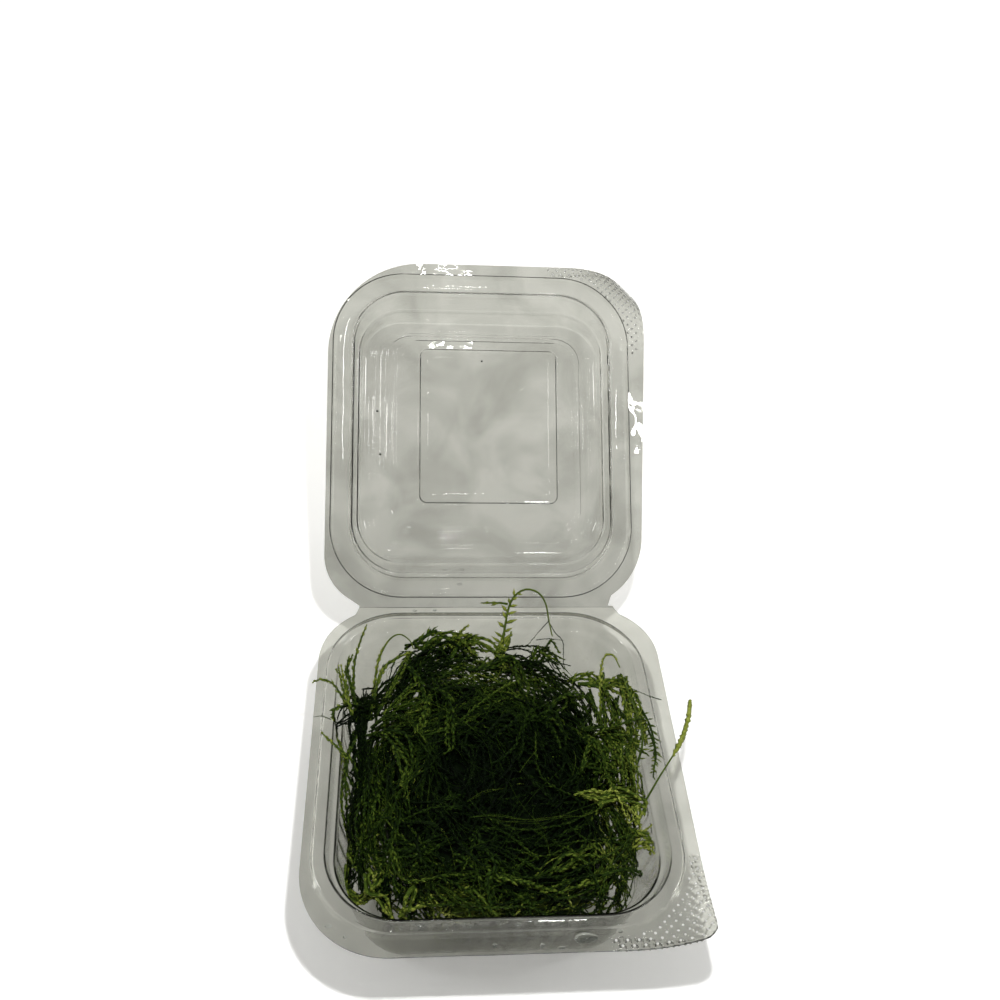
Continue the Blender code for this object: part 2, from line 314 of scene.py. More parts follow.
def lid_rings():
    """The shut lid's underside."""
    rim = slanted(ring(rim_box(), rim_corners(LID_RIM_CORNERS), LID_SIDE_STEPS, RIM_HEIGHT + CLEARANCE))
    inner = section_rings(LID_SECTION, LID_SIDE_STEPS, RIM_HEIGHT)
    rectangle = rectangle_rings(inner[-1][0, 2])
    panel = panel_rings(inner[-1], rectangle[0])
    return blended(rim, inner[0], RIM_STRIPS) + inner + panel + rectangle + shrunk(rectangle[-1], FLOOR_SHARES)


def lofted(rings):
    """One surface through the rings, closed by the last ring's face."""
    form = bmesh.new()
    rows = [[form.verts.new(point) for point in points] for points in rings]
    count = len(rows[0])
    for outer, inner in zip(rows, rows[1:]):
        for i in range(count):
            j = (i + 1) % count
            form.faces.new((outer[i], outer[j], inner[j], inner[i]))
    form.faces.new(rows[-1])
    return form, count


def outside_bead(x, y, inset=0.0):
    """How far a place is outside the bead's rounded outline."""
    dx = abs(x) - (BEAD_WIDTH / 2 - BEAD_CORNER)
    dy = abs(y) - (BEAD_DEPTH / 2 - BEAD_CORNER)
    return math.hypot(max(dx, 0.0), max(dy, 0.0)) + min(max(dx, dy), 0.0) - BEAD_CORNER + inset


def knurled(form, count, start):
    """Raised diamond points on the thumb tab's flat rim."""
    start_x, start_y = start
    flat = next(iter(form.verts)).co.z
    form.faces.ensure_lookup_table()
    rim = form.faces[:count * RIM_STRIPS]
    tab = [f for f in rim if f.calc_center_median().x > start_x and f.calc_center_median().y < start_y]
    edges = list({edge for face in tab for edge in face.edges})
    bmesh.ops.subdivide_edges(form, edges=edges, cuts=KNURL_CUTS, use_grid_fill=True)
    for vertex in form.verts:
        x, y, z = vertex.co
        if x < start_x or y > start_y or abs(z - flat) > 0.01 * MM:
            continue
        edge = smooth((outside_bead(x, y) - KNURL_FADE[0]) / (KNURL_FADE[1] - KNURL_FADE[0]))
        edge *= smooth((x - start_x) / KNURL_FADE[1]) * smooth((start_y - y) / KNURL_FADE[1])
        wave = math.cos(2 * math.pi * x / KNURL_PITCH) * math.cos(2 * math.pi * y / KNURL_PITCH)
        vertex.co.z += KNURL_HEIGHT * edge * max(0.0, wave) ** 0.8


def waved(form, seed):
    """The slight unevenness of formed sheet."""
    for vertex in form.verts:
        for length, share in zip(WAVE_LENGTHS, (1.0, 0.3)):
            place = Vector((vertex.co.x / length, vertex.co.y / length, seed))
            vertex.co.z += WAVE_HEIGHT * share * noise.noise(place)


def bent_tab(form, radius):
    """Bends what lies beyond the thumb tab's crease upwards, on a round bend."""
    corner = Vector((rim_box()[1], rim_box()[2]))
    diagonal = Vector((math.sqrt(0.5), -math.sqrt(0.5)))
    for vertex in form.verts:
        plan = vertex.co.xy
        beyond = TAB_CREASE + (plan - corner).dot(diagonal)
        if beyond > 0:
            turn = beyond / radius
            vertex.co.xy = plan + diagonal * (radius * math.sin(turn) - beyond)
            vertex.co.z += radius * (1 - math.cos(turn))


def new_object(name, mesh, material):
    mesh.materials.append(material)
    made = bpy.data.objects.new(name, mesh)
    bpy.context.scene.collection.objects.link(made)
    return made


def applied(made):
    """The object with its modifiers made part of its mesh."""
    graph = bpy.context.evaluated_depsgraph_get()
    mesh = bpy.data.meshes.new_from_object(made.evaluated_get(graph))
    made.modifiers.clear()
    made.data = mesh
    return made


def sheet_from(name, form, material, facing_up):
    if not facing_up:
        bmesh.ops.reverse_faces(form, faces=form.faces[:])
    mesh = bpy.data.meshes.new(name)
    form.to_mesh(mesh)
    form.free()
    sheet = new_object(name, mesh, material)
    thicken = sheet.modifiers.new("sheet", "SOLIDIFY")
    thicken.thickness = SHEET
    thicken.offset = -1.0
    thicken.use_even_offset = True
    applied(sheet)
    sheet.data.shade_smooth()
    sheet.data.set_sharp_from_angle(angle=math.radians(55))
    return sheet


def make_tray(material):
    form, count = lofted(tray_rings())
    knurled(form, count, TRAY_KNURL_FROM)
    waved(form, seed=1.5)
    bent_tab(form, TRAY_TAB_BEND)
    tray = sheet_from("tray_sheet", form, material, facing_up=True)
    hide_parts("tray")
    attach(tray, "tray")


def make_lid(material):
    """The lid is made shut and turned open about the hinge's axis."""
    form, count = lofted(lid_rings())
    knurled(form, count, LID_KNURL_FROM)
    waved(form, seed=7.5)
    bent_tab(form, LID_TAB_BEND)
    turned_open(form)
    lid = sheet_from("lid_sheet", form, material, facing_up=False)
    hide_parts("lid")
    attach(lid, "lid")


# What lies between and on the sheets

CREASE_ROWS = 6
CREASE_COLUMNS = 60
CREASE_SHARE = 0.75


def turned_open(form):
    """Turns what is made on the shut lid open about the hinge's axis."""
    turn = Matrix.Rotation(math.radians(-LID_OPEN), 4, "X")
    axis = Matrix.Translation(hinge_axis())
    bmesh.ops.transform(form, matrix=axis @ turn @ axis.inverted(), verts=form.verts[:])


def make_crease(material):
    """The thin strip of sheet that joins the tray to the lid and bends as the lid turns."""
    x0, x1, _, back = rim_box()
    shut = bmesh.new()
    lid_edge = [shut.verts.new((0.0, back, RIM_HEIGHT + CLEARANCE + rise)) for rise in (0.0, SHEET)]
    turned_open(shut)
    lid_under, lid_over = (vertex.co.yz for vertex in lid_edge)
    tray_over, tray_under = Vector((back, RIM_HEIGHT)), Vector((back, RIM_HEIGHT - SHEET))
    loop = []
    for i in range(CREASE_ROWS + 1):
        loop.append(tray_over.lerp(lid_under, i / CREASE_ROWS))
    for i in range(CREASE_ROWS, -1, -1):
        upper, lower = loop[i], tray_under.lerp(lid_over, i / CREASE_ROWS)
        loop.append(upper.lerp(lower, CREASE_SHARE))
    shut.free()
    form = bmesh.new()
    rows = []
    for column in range(CREASE_COLUMNS + 1):
        x = x0 + HINGE_END_INSET + (x1 - x0 - 2 * HINGE_END_INSET) * column / CREASE_COLUMNS
        rows.append([form.verts.new((x, *point)) for point in loop])
    for near_row, far_row in zip(rows, rows[1:]):
        for i in range(len(loop)):
            j = (i + 1) % len(loop)
            form.faces.new((near_row[i], near_row[j], far_row[j], far_row[i]))
    form.faces.new(rows[0])
    form.faces.new(rows[-1][::-1])
    bmesh.ops.recalc_face_normals(form, faces=form.faces[:])
    mesh = bpy.data.meshes.new("hinge_crease")
    form.to_mesh(mesh)
    form.free()
    mesh.shade_smooth()
    mesh.set_sharp_from_angle(angle=math.radians(50))
    crease = new_object("hinge_crease", mesh, material)
    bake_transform(crease)


TRAY_DROPS = (
    ((21.5, -59.6, 38.1), (6.6, 2.6, 1.5)),
    ((14.7, -62.0, 38.1), (2.4, 0.8, 0.4)),
    ((-3.0, -60.9, 38.1), (1.5, 1.2, 0.6)),
    ((9.7, -61.3, 38.1), (1.5, 1.2, 0.6)),
    ((-27.6, -56.6, 40.6), (1.2, 0.7, 0.4)),
    ((-22.7, -56.4, 40.6), (1.3, 0.8, 0.4)),
    ((-9.5, -56.8, 40.6), (1.2, 0.8, 0.4)),
    ((3.4, -56.6, 40.6), (1.7, 0.9, 0.5)),
    ((-46.8, -54.2, 38.1), (1.8, 1.1, 0.5)),
    ((-42.2, -57.3, 38.1), (1.2, 0.8, 0.4)),
    ((30.9, -57.9, 38.1), (1.4, 1.0, 0.5)),
    ((-23.9, 60.4, 38.1), (1.8, 0.8, 0.4)),
    ((-16.9, 60.6, 38.1), (1.4, 0.8, 0.4)),
)
LID_DROPS = (
    ((-7.3, 49.2, 40.3), (2.4, 1.4, 0.6)),
    ((-13.4, 49.4, 40.1), (1.6, 1.0, 0.4)),
    ((-8.0, 54.4, 41.1), (2.0, 1.0, 0.5)),
)
LID_BITS = (
    ((-38.2, -10.0, 49.5), (0.9, 0.6, 0.5)),
    ((-36.9, 6.2, 49.5), (0.9, 0.7, 0.5)),
    ((0.7, -30.0, 50.4), (0.7, 0.6, 0.5)),
)
DROP_FLATNESS = 0.12


def rounded_bits(name, bits, material, up):
    """Small domes that lie on a sheet (up is 1) or hang under it (up is -1)."""
    form = bmesh.new()
    for middle, size in bits:
        made = bmesh.ops.create_icosphere(form, subdivisions=3, radius=1.0)
        for vertex in made["verts"]:
            across, along, above = vertex.co
            above *= 1.0 if above > 0 else DROP_FLATNESS
            bend = 1 + 0.12 * math.sin(3 * across + middle[0])
            place = (middle[0] + across * size[0] / 2, middle[1] + along * bend * size[1] / 2,
                     middle[2] + up * above * size[2])
            vertex.co = Vector(place) * MM
    bmesh.ops.recalc_face_normals(form, faces=form.faces[:])
    if up < 0:
        turned_open(form)
    mesh = bpy.data.meshes.new(name)
    form.to_mesh(mesh)
    form.free()
    mesh.shade_smooth()
    return new_object(name, mesh, material)


def make_drops(water, moss):
    for name, bits, material, up, body, slot in (
            ("tray_drops", TRAY_DROPS, water, 1, "tray", "clear_plastic"),
            ("lid_drops", LID_DROPS, water, -1, "lid", "clear_plastic"),
            ("lid_moss_bits", LID_BITS, moss, -1, "lid", "moss")):
        piece = rounded_bits(name, bits, material, up)
        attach(piece, body)
        if body == "tray":
            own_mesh(piece)


TIP_RADIUS = 0.42 * MM
TIP_RISE = 0.16 * MM
TIP_SIDES = 8


def knurl_places(start):
    """The lattice of the knurl's points outside the bead, on the thumb tab."""
    start_x, start_y = start
    _, x1, y0, _ = rim_box()
    places = []
    first_column = math.ceil(2 * start_x / KNURL_PITCH)
    first_row = math.floor(2 * start_y / KNURL_PITCH)
    for column in range(first_column, math.floor(2 * x1 / KNURL_PITCH) + 1):
        for row in range(first_row, math.ceil(2 * y0 / KNURL_PITCH) - 1, -1):
            if (column + row) % 2 == 0:
                places.append((column * KNURL_PITCH / 2, row * KNURL_PITCH / 2))
    return places


def inside_tab(x, y, corner_radius, taper):
    """Whether a place is on the flat rim, clear of its edge and of the bead."""
    _, x1, y0, y1 = rim_box()
    x1 -= taper * (y1 - y) / (y1 - y0)
    margin = 1.0 * MM
    if x > x1 - margin or y < y0 + margin or outside_bead(x, y) < margin:
        return False
    dx, dy = x - (x1 - corner_radius), (y0 + corner_radius) - y
    return dx < 0 or dy < 0 or math.hypot(dx, dy) < corner_radius - margin


def make_tips(name, start, corner_radius, taper, bend, on_lid, material):
    """The knurl's pale points, a painted highlight for the bright glints of the knurl."""
    form = bmesh.new()
    level = RIM_HEIGHT + (CLEARANCE if on_lid else 0.0)
    for x, y in knurl_places(start):
        if not inside_tab(x, y, corner_radius, taper):
            continue
        top = KNURL_HEIGHT * (0.75 if on_lid else 0.9)
        rings = ((1.0, 0.0), (0.75, 0.62), (0.35, 0.95))
        rows = [[form.verts.new((x + TIP_RADIUS * r * math.cos(2 * math.pi * k / TIP_SIDES),
                                 y + TIP_RADIUS * r * math.sin(2 * math.pi * k / TIP_SIDES),
                                 level + top + TIP_RISE * h)) for k in range(TIP_SIDES)] for r, h in rings]
        form.faces.new(rows[0][::-1])
        for low, high in zip(rows, rows[1:]):
            for k in range(TIP_SIDES):
                j = (k + 1) % TIP_SIDES
                form.faces.new((low[k], low[j], high[j], high[k]))
        form.faces.new(rows[-1])
    bent_tab(form, bend)
    if on_lid:
        turned_open(form)
    mesh = bpy.data.meshes.new(name)
    form.to_mesh(mesh)
    form.free()
    mesh.shade_smooth()
    tips = new_object(name, mesh, material)
    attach(tips, "lid" if on_lid else "tray")


# Node materials

def shader_of(name):
    material = bpy.data.materials.new(name)
    material.use_nodes = True
    return material, material.node_tree.nodes, material.node_tree.links


# The sheet's tint where it is thick and where it was drawn thin. The tray's tints are lighter than the lid's, though
# both are one sheet: painted light, lightening the tray where it is seen over its own shadow on the table
TRAY_TINTS_PAINTED_LIGHTER = ((0.52, 0.523, 0.475), (0.66, 0.663, 0.61))
LID_TINTS = ((0.385, 0.388, 0.353), (0.54, 0.543, 0.503))


def tint_by_thickness(nodes, links, tints):
    """Uneven tint, as the formed sheet is drawn thinner in places."""
    place = nodes.new("ShaderNodeTexCoord")
    drawn = nodes.new("ShaderNodeTexNoise")
    drawn.inputs["Scale"].default_value = 42.0
    drawn.inputs["Detail"].default_value = 4.0
    drawn.inputs["Distortion"].default_value = 0.8
    links.new(place.outputs["Object"], drawn.inputs["Vector"])
    ramp = nodes.new("ShaderNodeValToRGB")
    for stop, position, tint in zip(ramp.color_ramp.elements, (0.32, 0.68), tints):
        stop.position = position
        stop.color = (*tint, 1.0)
    links.new(drawn.outputs["Fac"], ramp.inputs["Fac"])
    links.new(ramp.outputs["Color"], nodes["Principled BSDF"].inputs["Base Color"])


def plastic_material(name, tints):
    """Clear formed plastic with a warm grey tint and faint flow marks."""
    material, nodes, links = shader_of(name)
    shader = nodes["Principled BSDF"]
    tint_by_thickness(nodes, links, tints)
    shader.inputs["Transmission Weight"].default_value = 1.0
    shader.inputs["IOR"].default_value = 1.57
    place = nodes.new("ShaderNodeTexCoord")
    haze = nodes.new("ShaderNodeTexNoise")
    haze.inputs["Scale"].default_value = 90.0
    haze.inputs["Detail"].default_value = 3.0
    haze_range = nodes.new("ShaderNodeMapRange")
    haze_range.inputs["From Min"].default_value = 0.45
    haze_range.inputs["From Max"].default_value = 0.8
    haze_range.inputs["To Min"].default_value = 0.0
    haze_range.inputs["To Max"].default_value = 0.05
    links.new(place.outputs["Object"], haze.inputs["Vector"])
    links.new(haze.outputs["Fac"], haze_range.inputs["Value"])
    links.new(haze_range.outputs["Result"], shader.inputs["Roughness"])
    flow = nodes.new("ShaderNodeTexNoise")
    flow.inputs["Scale"].default_value = 130.0
    bump = nodes.new("ShaderNodeBump")
    bump.inputs["Strength"].default_value = 0.14
    bump.inputs["Distance"].default_value = 0.0006
    links.new(place.outputs["Object"], flow.inputs["Vector"])
    links.new(flow.outputs["Fac"], bump.inputs["Height"])
    links.new(bump.outputs["Normal"], shader.inputs["Normal"])
    return material


def knurl_highlight_material():
    """Pale plastic on the knurl's points: a painted highlight for the points' bright glints."""
    material, nodes, _ = shader_of("knurl_painted_highlight")
    shader = nodes["Principled BSDF"]
    shader.inputs["Base Color"].default_value = (0.93, 0.93, 0.90, 1.0)
    shader.inputs["Roughness"].default_value = 0.35
    shader.inputs["Transmission Weight"].default_value = 0.45
    shader.inputs["IOR"].default_value = 1.3
    return material


def water_material():
    material, nodes, _ = shader_of("water_drop")
    shader = nodes["Principled BSDF"]
    shader.inputs["Base Color"].default_value = (0.93, 0.95, 0.94, 1.0)
    shader.inputs["Roughness"].default_value = 0.0
    shader.inputs["Transmission Weight"].default_value = 1.0
    shader.inputs["IOR"].default_value = 1.333
    return material


# Colours of the moss from its dark inside to its bright tips: tone, then linear red, green and blue. The near-black
# lowest stops are painted shade, for the shade deep in the tangle
MOSS_COLOURS_AND_SHADE = (
    (0.0, (0.0012, 0.0030, 0.0008)),
    (0.2, (0.0050, 0.0115, 0.0020)),
    (0.42, (0.020, 0.040, 0.0045)),
    (0.62, (0.074, 0.108, 0.014)),
    (0.82, (0.19, 0.225, 0.036)),
    (1.0, (0.33, 0.36, 0.09)),
)


def moss_material():
    """Wet moss: its colour runs along each strand's tone, broken up by fine mottling."""
    material, nodes, links = shader_of("moss_wet")
    shader = nodes["Principled BSDF"]
    shader.inputs["IOR"].default_value = 1.36
    shader.inputs["Specular IOR Level"].default_value = 0.12
    tone = nodes.new("ShaderNodeAttribute")
    tone.attribute_name = "tone"
    place = nodes.new("ShaderNodeTexCoord")
    mottle = nodes.new("ShaderNodeTexNoise")
    mottle.inputs["Scale"].default_value = 420.0
    mottle.inputs["Detail"].default_value = 4.0
    links.new(place.outputs["Object"], mottle.inputs["Vector"])
    spread = nodes.new("ShaderNodeMapRange")
    spread.inputs["To Min"].default_value = -0.16
    spread.inputs["To Max"].default_value = 0.16
    links.new(mottle.outputs["Fac"], spread.inputs["Value"])
    total = nodes.new("ShaderNodeMath")
    links.new(tone.outputs["Fac"], total.inputs[0])
    links.new(spread.outputs["Result"], total.inputs[1])
    ramp = nodes.new("ShaderNodeValToRGB")
    stops = ramp.color_ramp.elements
    while len(stops) < len(MOSS_COLOURS_AND_SHADE):
        stops.new(0.5)
    for stop, (position, colour) in zip(stops, MOSS_COLOURS_AND_SHADE):
        stop.position = position
        stop.color = (*colour, 1.0)
    links.new(total.outputs["Value"], ramp.inputs["Fac"])
    links.new(ramp.outputs["Color"], shader.inputs["Base Color"])
    wet = nodes.new("ShaderNodeMapRange")
    wet.inputs["To Min"].default_value = 0.28
    wet.inputs["To Max"].default_value = 0.62
    links.new(mottle.outputs["Fac"], wet.inputs["Value"])
    links.new(wet.outputs["Result"], shader.inputs["Roughness"])
    return material


# The small lamp that stands low over the box and throws its sharp shadow on the table
NEAR_LAMP = (-0.001, -0.114, 0.320)
NEAR_LAMP_RADIUS = 0.005
NEAR_LAMP_POWER = 2.9
# The stand's glow is painted light: it glows evenly, which lightens the shadows on it, and by as much more as the near
# lamp's light falls off around its foot, so that it looks evenly bright
TABLE_COLOUR = (0.90, 0.90, 0.895, 1.0)
TABLE_PAINTED_GLOW = 0.17
TABLE_PAINTED_GLOW_RISE = 0.60


def floor_material():
    material, nodes, links = shader_of("pale_table_painted_glow")
    shader = nodes["Principled BSDF"]
    shader.inputs["Roughness"].default_value = 0.7
    shader.inputs["Specular IOR Level"].default_value = 0.1
    shader.inputs["Base Color"].default_value = TABLE_COLOUR
    place = nodes.new("ShaderNodeTexCoord")
    offset = nodes.new("ShaderNodeVectorMath")
    offset.operation = "SUBTRACT"
    offset.inputs[1].default_value = (NEAR_LAMP[0], NEAR_LAMP[1], 0.0)
    links.new(place.outputs["Object"], offset.inputs[0])
    squared = nodes.new("ShaderNodeVectorMath")
    squared.operation = "DOT_PRODUCT"
    links.new(offset.outputs["Vector"], squared.inputs[0])
    links.new(offset.outputs["Vector"], squared.inputs[1])
    spread = nodes.new("ShaderNodeMath")
    spread.operation = "MULTIPLY_ADD"
    spread.inputs[1].default_value = 1 / NEAR_LAMP[2] ** 2
    spread.inputs[2].default_value = 1.0
    links.new(squared.outputs["Value"], spread.inputs[0])
    falloff = nodes.new("ShaderNodeMath")
    falloff.operation = "POWER"
    falloff.inputs[1].default_value = -1.5
    links.new(spread.outputs["Value"], falloff.inputs[0])
    # Painted light: the table's emission grows away from the near lamp's foot, and its slightly warm colour tints the
    # shadows on the table
    glow = nodes.new("ShaderNodeMath")
    glow.operation = "MULTIPLY_ADD"
    glow.inputs[1].default_value = -TABLE_PAINTED_GLOW_RISE
    glow.inputs[2].default_value = TABLE_PAINTED_GLOW + TABLE_PAINTED_GLOW_RISE
    links.new(falloff.outputs["Value"], glow.inputs[0])
    shader.inputs["Emission Color"].default_value = (1.0, 0.99, 0.94, 1.0)
    links.new(glow.outputs["Value"], shader.inputs["Emission Strength"])
    return material


# The tangle's dense mass: its outline from above is a reach in millimetres from its middle, every few degrees
MASS_CENTRE = Vector((-1.0, -4.0, 20.3)) * MM
MASS_OUTLINE = (
    (0, 36.8), (19, 37.5), (34, 40.5), (47, 44.5), (57, 47.5), (70, 48.0), (84, 47.0), (95, 47.5), (102, 53.0),
    (112, 56.0), (118, 54.5), (126, 48.5), (134, 43.0), (143, 40.0), (155, 37.2), (168, 38.5), (181, 39.5),
    (196, 40.5), (208, 43.0), (217, 44.0), (230, 44.5), (240, 45.0), (252, 46.5), (270, 47.0), (290, 48.5),
    (305, 56.0), (320, 53.0), (335, 46.5), (348, 39.5),
)
MASS_HALF_HEIGHT = 19.9 * MM
MASS_SQUARENESS = 4.2
MASS_LUMPS = ((3.0 * MM, 0.45), (3.6 * MM, 0.2))
CORE_SHARE = 0.80
CORE_LUMPS = ((1.6 * MM, 7.0 * MM), (0.9 * MM, 2.5 * MM))
CORE_SUBDIVISIONS = 6
# The core's tone: near black, painted shade deep in the tangle, and lighter round its sides, painted light
CORE_SHADE_TONE = 0.02
CORE_LIT_SIDE_TONE = 0.40
CORE_MOTTLING = (0.9, 3.5 * MM)

# How far the tray's inside stands in from the bead's outline, by height
INSIDE_HEIGHTS = np.array((0.6, 1.8, 5.0, 33.5, 36.1, 36.6, 40.8, 41.4)) * MM
INSIDE_INSETS = np.array((16.6, 14.6, 13.4, 7.8, 7.2, 6.0, 4.2, -90.0)) * MM
FLOOR_TOP = 0.7 * MM

# A strand's habit in millimetres: leaflets' reach and width, stem's half width, leaflets' pitch and their angle,
# in how many rows they stand, and over which shares of their length they widen
Habit = namedtuple("Habit", "reach width stem pitch angle rows sections")
CURLED = ((0.0, 0.42), (0.45, 1.0))
PLAIN = ((0.12, 1.0),)
COMB = Habit(3.7, 1.2, 0.58, 1.5, 60, 2, CURLED)
BRISTLE = Habit(3.0, 0.60, 0.50, 1.5, 76, 2, CURLED)
CORD = Habit(1.75, 1.00, 0.50, 0.68, 28, 3, CURLED)
TANGLE = Habit(1.30, 0.76, 0.33, 0.64, 28, 3, PLAIN)
LOOSE = Habit(1.75, 0.95, 0.42, 0.76, 32, 3, PLAIN)
CLUB = Habit(2.0, 1.9, 0.42, 0.4, 7, 4, CURLED)
RIBBON = Habit(1.7, 1.4, 0.80, 1.15, 20, 3, CURLED)
THICK = Habit(2.2, 1.2, 0.60, 0.80, 30, 3, CURLED)
SPIKY = Habit(2.9, 0.75, 0.50, 1.2, 62, 2, CURLED)
TWIG = Habit(0.8, 0.34, 0.20, 1.4, 40, 2, CURLED)
HAIR = Habit(0.0, 0.0, 0.085, 1.4, 0, 2, PLAIN)
LEAFLET_KEEL = 0.42
STEM_SIDES = 3

# Loose strands: how sharply they turn, over which distance, and how strongly they keep to the mass
WANDER_TURN = 0.20
WANDER_LENGTH = 13.0 * MM
WANDER_HUG = 0.4
WANDER_FLATTEN = 0.55


class Growth:
    """Gathers closed stems and leaflets as one mesh, with a tone from dark to bright at each corner."""

    def __init__(self):
        self.points = []
        self.triangles = []
        self.tones = []
        self.count = 0

    def add(self, points, triangles, tones):
        self.points.append(points)
        self.triangles.append(triangles + self.count)
        self.tones.append(tones)
        self.count += len(points)

    def made(self, name, material):
        points = kept_inside(np.concatenate(self.points))
        triangles = np.concatenate(self.triangles)
        mesh = bpy.data.meshes.new(name)
        mesh.from_pydata(points.tolist(), [], triangles.tolist())
        tone = mesh.attributes.new("tone", "FLOAT", "POINT")
        tone.data.foreach_set("value", np.concatenate(self.tones).astype(np.float32))
        mesh.shade_smooth()
        piece = new_object(name, mesh, material)
        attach(piece, "tray")
        return piece


def kept_inside(points):
    """The points, moved in where they would be in the tray's wall or floor."""
    points = points.copy()
    points[:, 2] = np.maximum(points[:, 2], FLOOR_TOP)
    inset = np.interp(points[:, 2], INSIDE_HEIGHTS, INSIDE_INSETS)
    half = np.stack((BEAD_WIDTH / 2 - inset, BEAD_DEPTH / 2 - inset), axis=1)
    radius = np.maximum(BEAD_CORNER - INSET_TO_CORNER * inset, 1 * MM)
    flat = half - radius[:, None]
    over = np.maximum(np.abs(points[:, :2]) - flat, 0.0)
    reach = np.maximum(np.linalg.norm(over, axis=1), 1e-9)
    share = np.minimum(radius / reach, 1.0)[:, None]
    inside = np.minimum(np.abs(points[:, :2]), flat) + over * share
    points[:, :2] = np.sign(points[:, :2]) * inside
    return points


def unit(vectors):
    return vectors / np.maximum(np.linalg.norm(vectors, axis=-1, keepdims=True), 1e-12)


def add_stem(growth, places, side, up, radius, tone):
    """A three-sided stem along the places, drawn to a point at its far end."""
    count = len(places)
    taper = radius * np.linspace(1.0, 0.5, count)[:, None]
    turns = [2 * math.pi * k / STEM_SIDES for k in range(STEM_SIDES)]
    rings = np.stack([places + taper * (math.cos(t) * side + math.sin(t) * up) for t in turns], axis=1)
    points = np.concatenate((rings.reshape(-1, 3), places[-1:] + (places[-1:] - places[-2:-1]) * 0.5))
    triangles = [(0, 2, 1)]
    for i in range(count - 1):
        for k in range(STEM_SIDES):
            a, b = i * STEM_SIDES + k, i * STEM_SIDES + (k + 1) % STEM_SIDES
            triangles += [(a, b, b + STEM_SIDES), (a, b + STEM_SIDES, a + STEM_SIDES)]
    last = (count - 1) * STEM_SIDES
    triangles += [(last + k, last + (k + 1) % STEM_SIDES, last + STEM_SIDES) for k in range(STEM_SIDES)]
    tones = np.concatenate((np.repeat(tone, STEM_SIDES), tone[-1:]))
    growth.add(points, np.array(triangles), tones)


def leaflet_triangles(sections):
    triangles = [(0, 1, 2)]
    for section in range(sections - 1):
        for k in range(3):
            a, b = section * 3 + k, section * 3 + (k + 1) % 3
            triangles += [(a, a + 3, b + 3), (a, b + 3, b)]
    last = 3 * (sections - 1)
    triangles += [(last + k, last + 3, last + (k + 1) % 3) for k in range(3)]
    return np.array(triangles)


def add_leaflets(growth, sections, foot, ahead, stem_ahead, up, reach, width, curl, tone, glow):
    """Pointed keeled leaflets, one for each foot, that curl forward along the stem."""
    across = unit(np.cross(up, ahead))
    above = unit(np.cross(ahead, across))
    rows = []
    shades = []
    for along, breadth in sections:
        middle = foot + ahead * (reach * along)[:, None] + stem_ahead * (reach * curl * along ** 2)[:, None]
        half = across * (width * breadth / 2)[:, None]
        rows += [middle - half, middle + half, middle + above * (width * breadth * LEAFLET_KEEL)[:, None]]
        shades += [tone + glow * along] * 3
    rows.append(foot + ahead * reach[:, None] + stem_ahead * (reach * curl)[:, None])
    shades.append(tone + glow)
    points = np.stack(rows, axis=1)
    count, size = points.shape[:2]
    triangles = (leaflet_triangles(len(sections))[None] + (np.arange(count) * size)[:, None, None]).reshape(-1, 3)
    growth.add(points.reshape(-1, 3), triangles, np.stack(shades, axis=1).reshape(-1))


def add_strand(growth, places, facing, rng, habit, tone, glow=0.25, leafy=(0.0, 1.0), roll=0.0, scale=1.0):
    """A stem along the places with leaflets in turn in rows round it; two rows spread in the plane that it faces."""
    places = np.array(places, float)
    ahead = unit(np.gradient(places, axis=0))
    side = unit(np.cross(ahead, np.array(facing, float)))
    up = np.cross(side, ahead)
    side, up = side * math.cos(roll) + up * math.sin(roll), up * math.cos(roll) - side * math.sin(roll)
    share = np.linspace(0.0, 1.0, len(places))
    tone_along = tone + 0.5 * glow * share ** 2
    add_stem(growth, places, side, up, habit.stem * scale * MM, tone_along - 0.08)
    chosen = np.nonzero((share >= leafy[0]) & (share <= leafy[1]))[0]
    if habit.reach == 0 or len(chosen) == 0:
        return
    part = (share[chosen] - leafy[0]) / (leafy[1] - leafy[0])
    size = np.minimum(1.0, 0.45 + 3.0 * part) * (1.0 - 0.55 * part ** 3)
    dice = np.array([[rng.uniform(-1, 1) for _ in range(6)] for _ in chosen])
    turn = 2 * math.pi * chosen / habit.rows + (0.28 if habit.rows == 2 else 0.6) * dice[:, 1]
    sideways = side[chosen] * np.cos(turn)[:, None] + up[chosen] * np.sin(turn)[:, None]
    upwards = up[chosen] * np.abs(np.cos(turn))[:, None] - side[chosen] * np.sin(turn)[:, None]
    angle = np.radians(habit.angle * (1 + 0.3 * dice[:, 0]) - 8 * part)
    out = unit(ahead[chosen] * np.cos(angle)[:, None] + sideways * np.sin(angle)[:, None])
    foot = places[chosen] + ahead[chosen] * (0.35 * habit.pitch * MM * dice[:, 4])[:, None]
    lengths = habit.reach * scale * MM * size * (1 + 0.3 * dice[:, 2])
    widths = habit.width * scale * MM * (0.75 + 0.25 * size) * (1 + 0.2 * dice[:, 5])
    add_leaflets(growth, habit.sections, foot, out, ahead[chosen], upwards, lengths, widths,
                 0.12 + 0.12 * dice[:, 3], tone_along[chosen] + 0.05 * dice[:, 3], glow * (1 + 0.4 * dice[:, 0]))


def outline_table():
    """The mass's reach for each whole degree, smoothed round the turn."""
    angles = [angle for angle, _ in MASS_OUTLINE] + [360]
    reaches = [reach for _, reach in MASS_OUTLINE] + [MASS_OUTLINE[0][1]]
    table = np.interp(np.arange(360), angles, reaches)
    return [float(np.mean([table[(degree + k) % 360] for k in range(-7, 8)])) * MM for degree in range(360)]


MASS_REACH = outline_table()


def mass_reach(across, along):
    degree = math.degrees(math.atan2(along, across)) % 360
    first = int(degree) % 360
    return MASS_REACH[first] + (MASS_REACH[(first + 1) % 360] - MASS_REACH[first]) * (degree - int(degree))


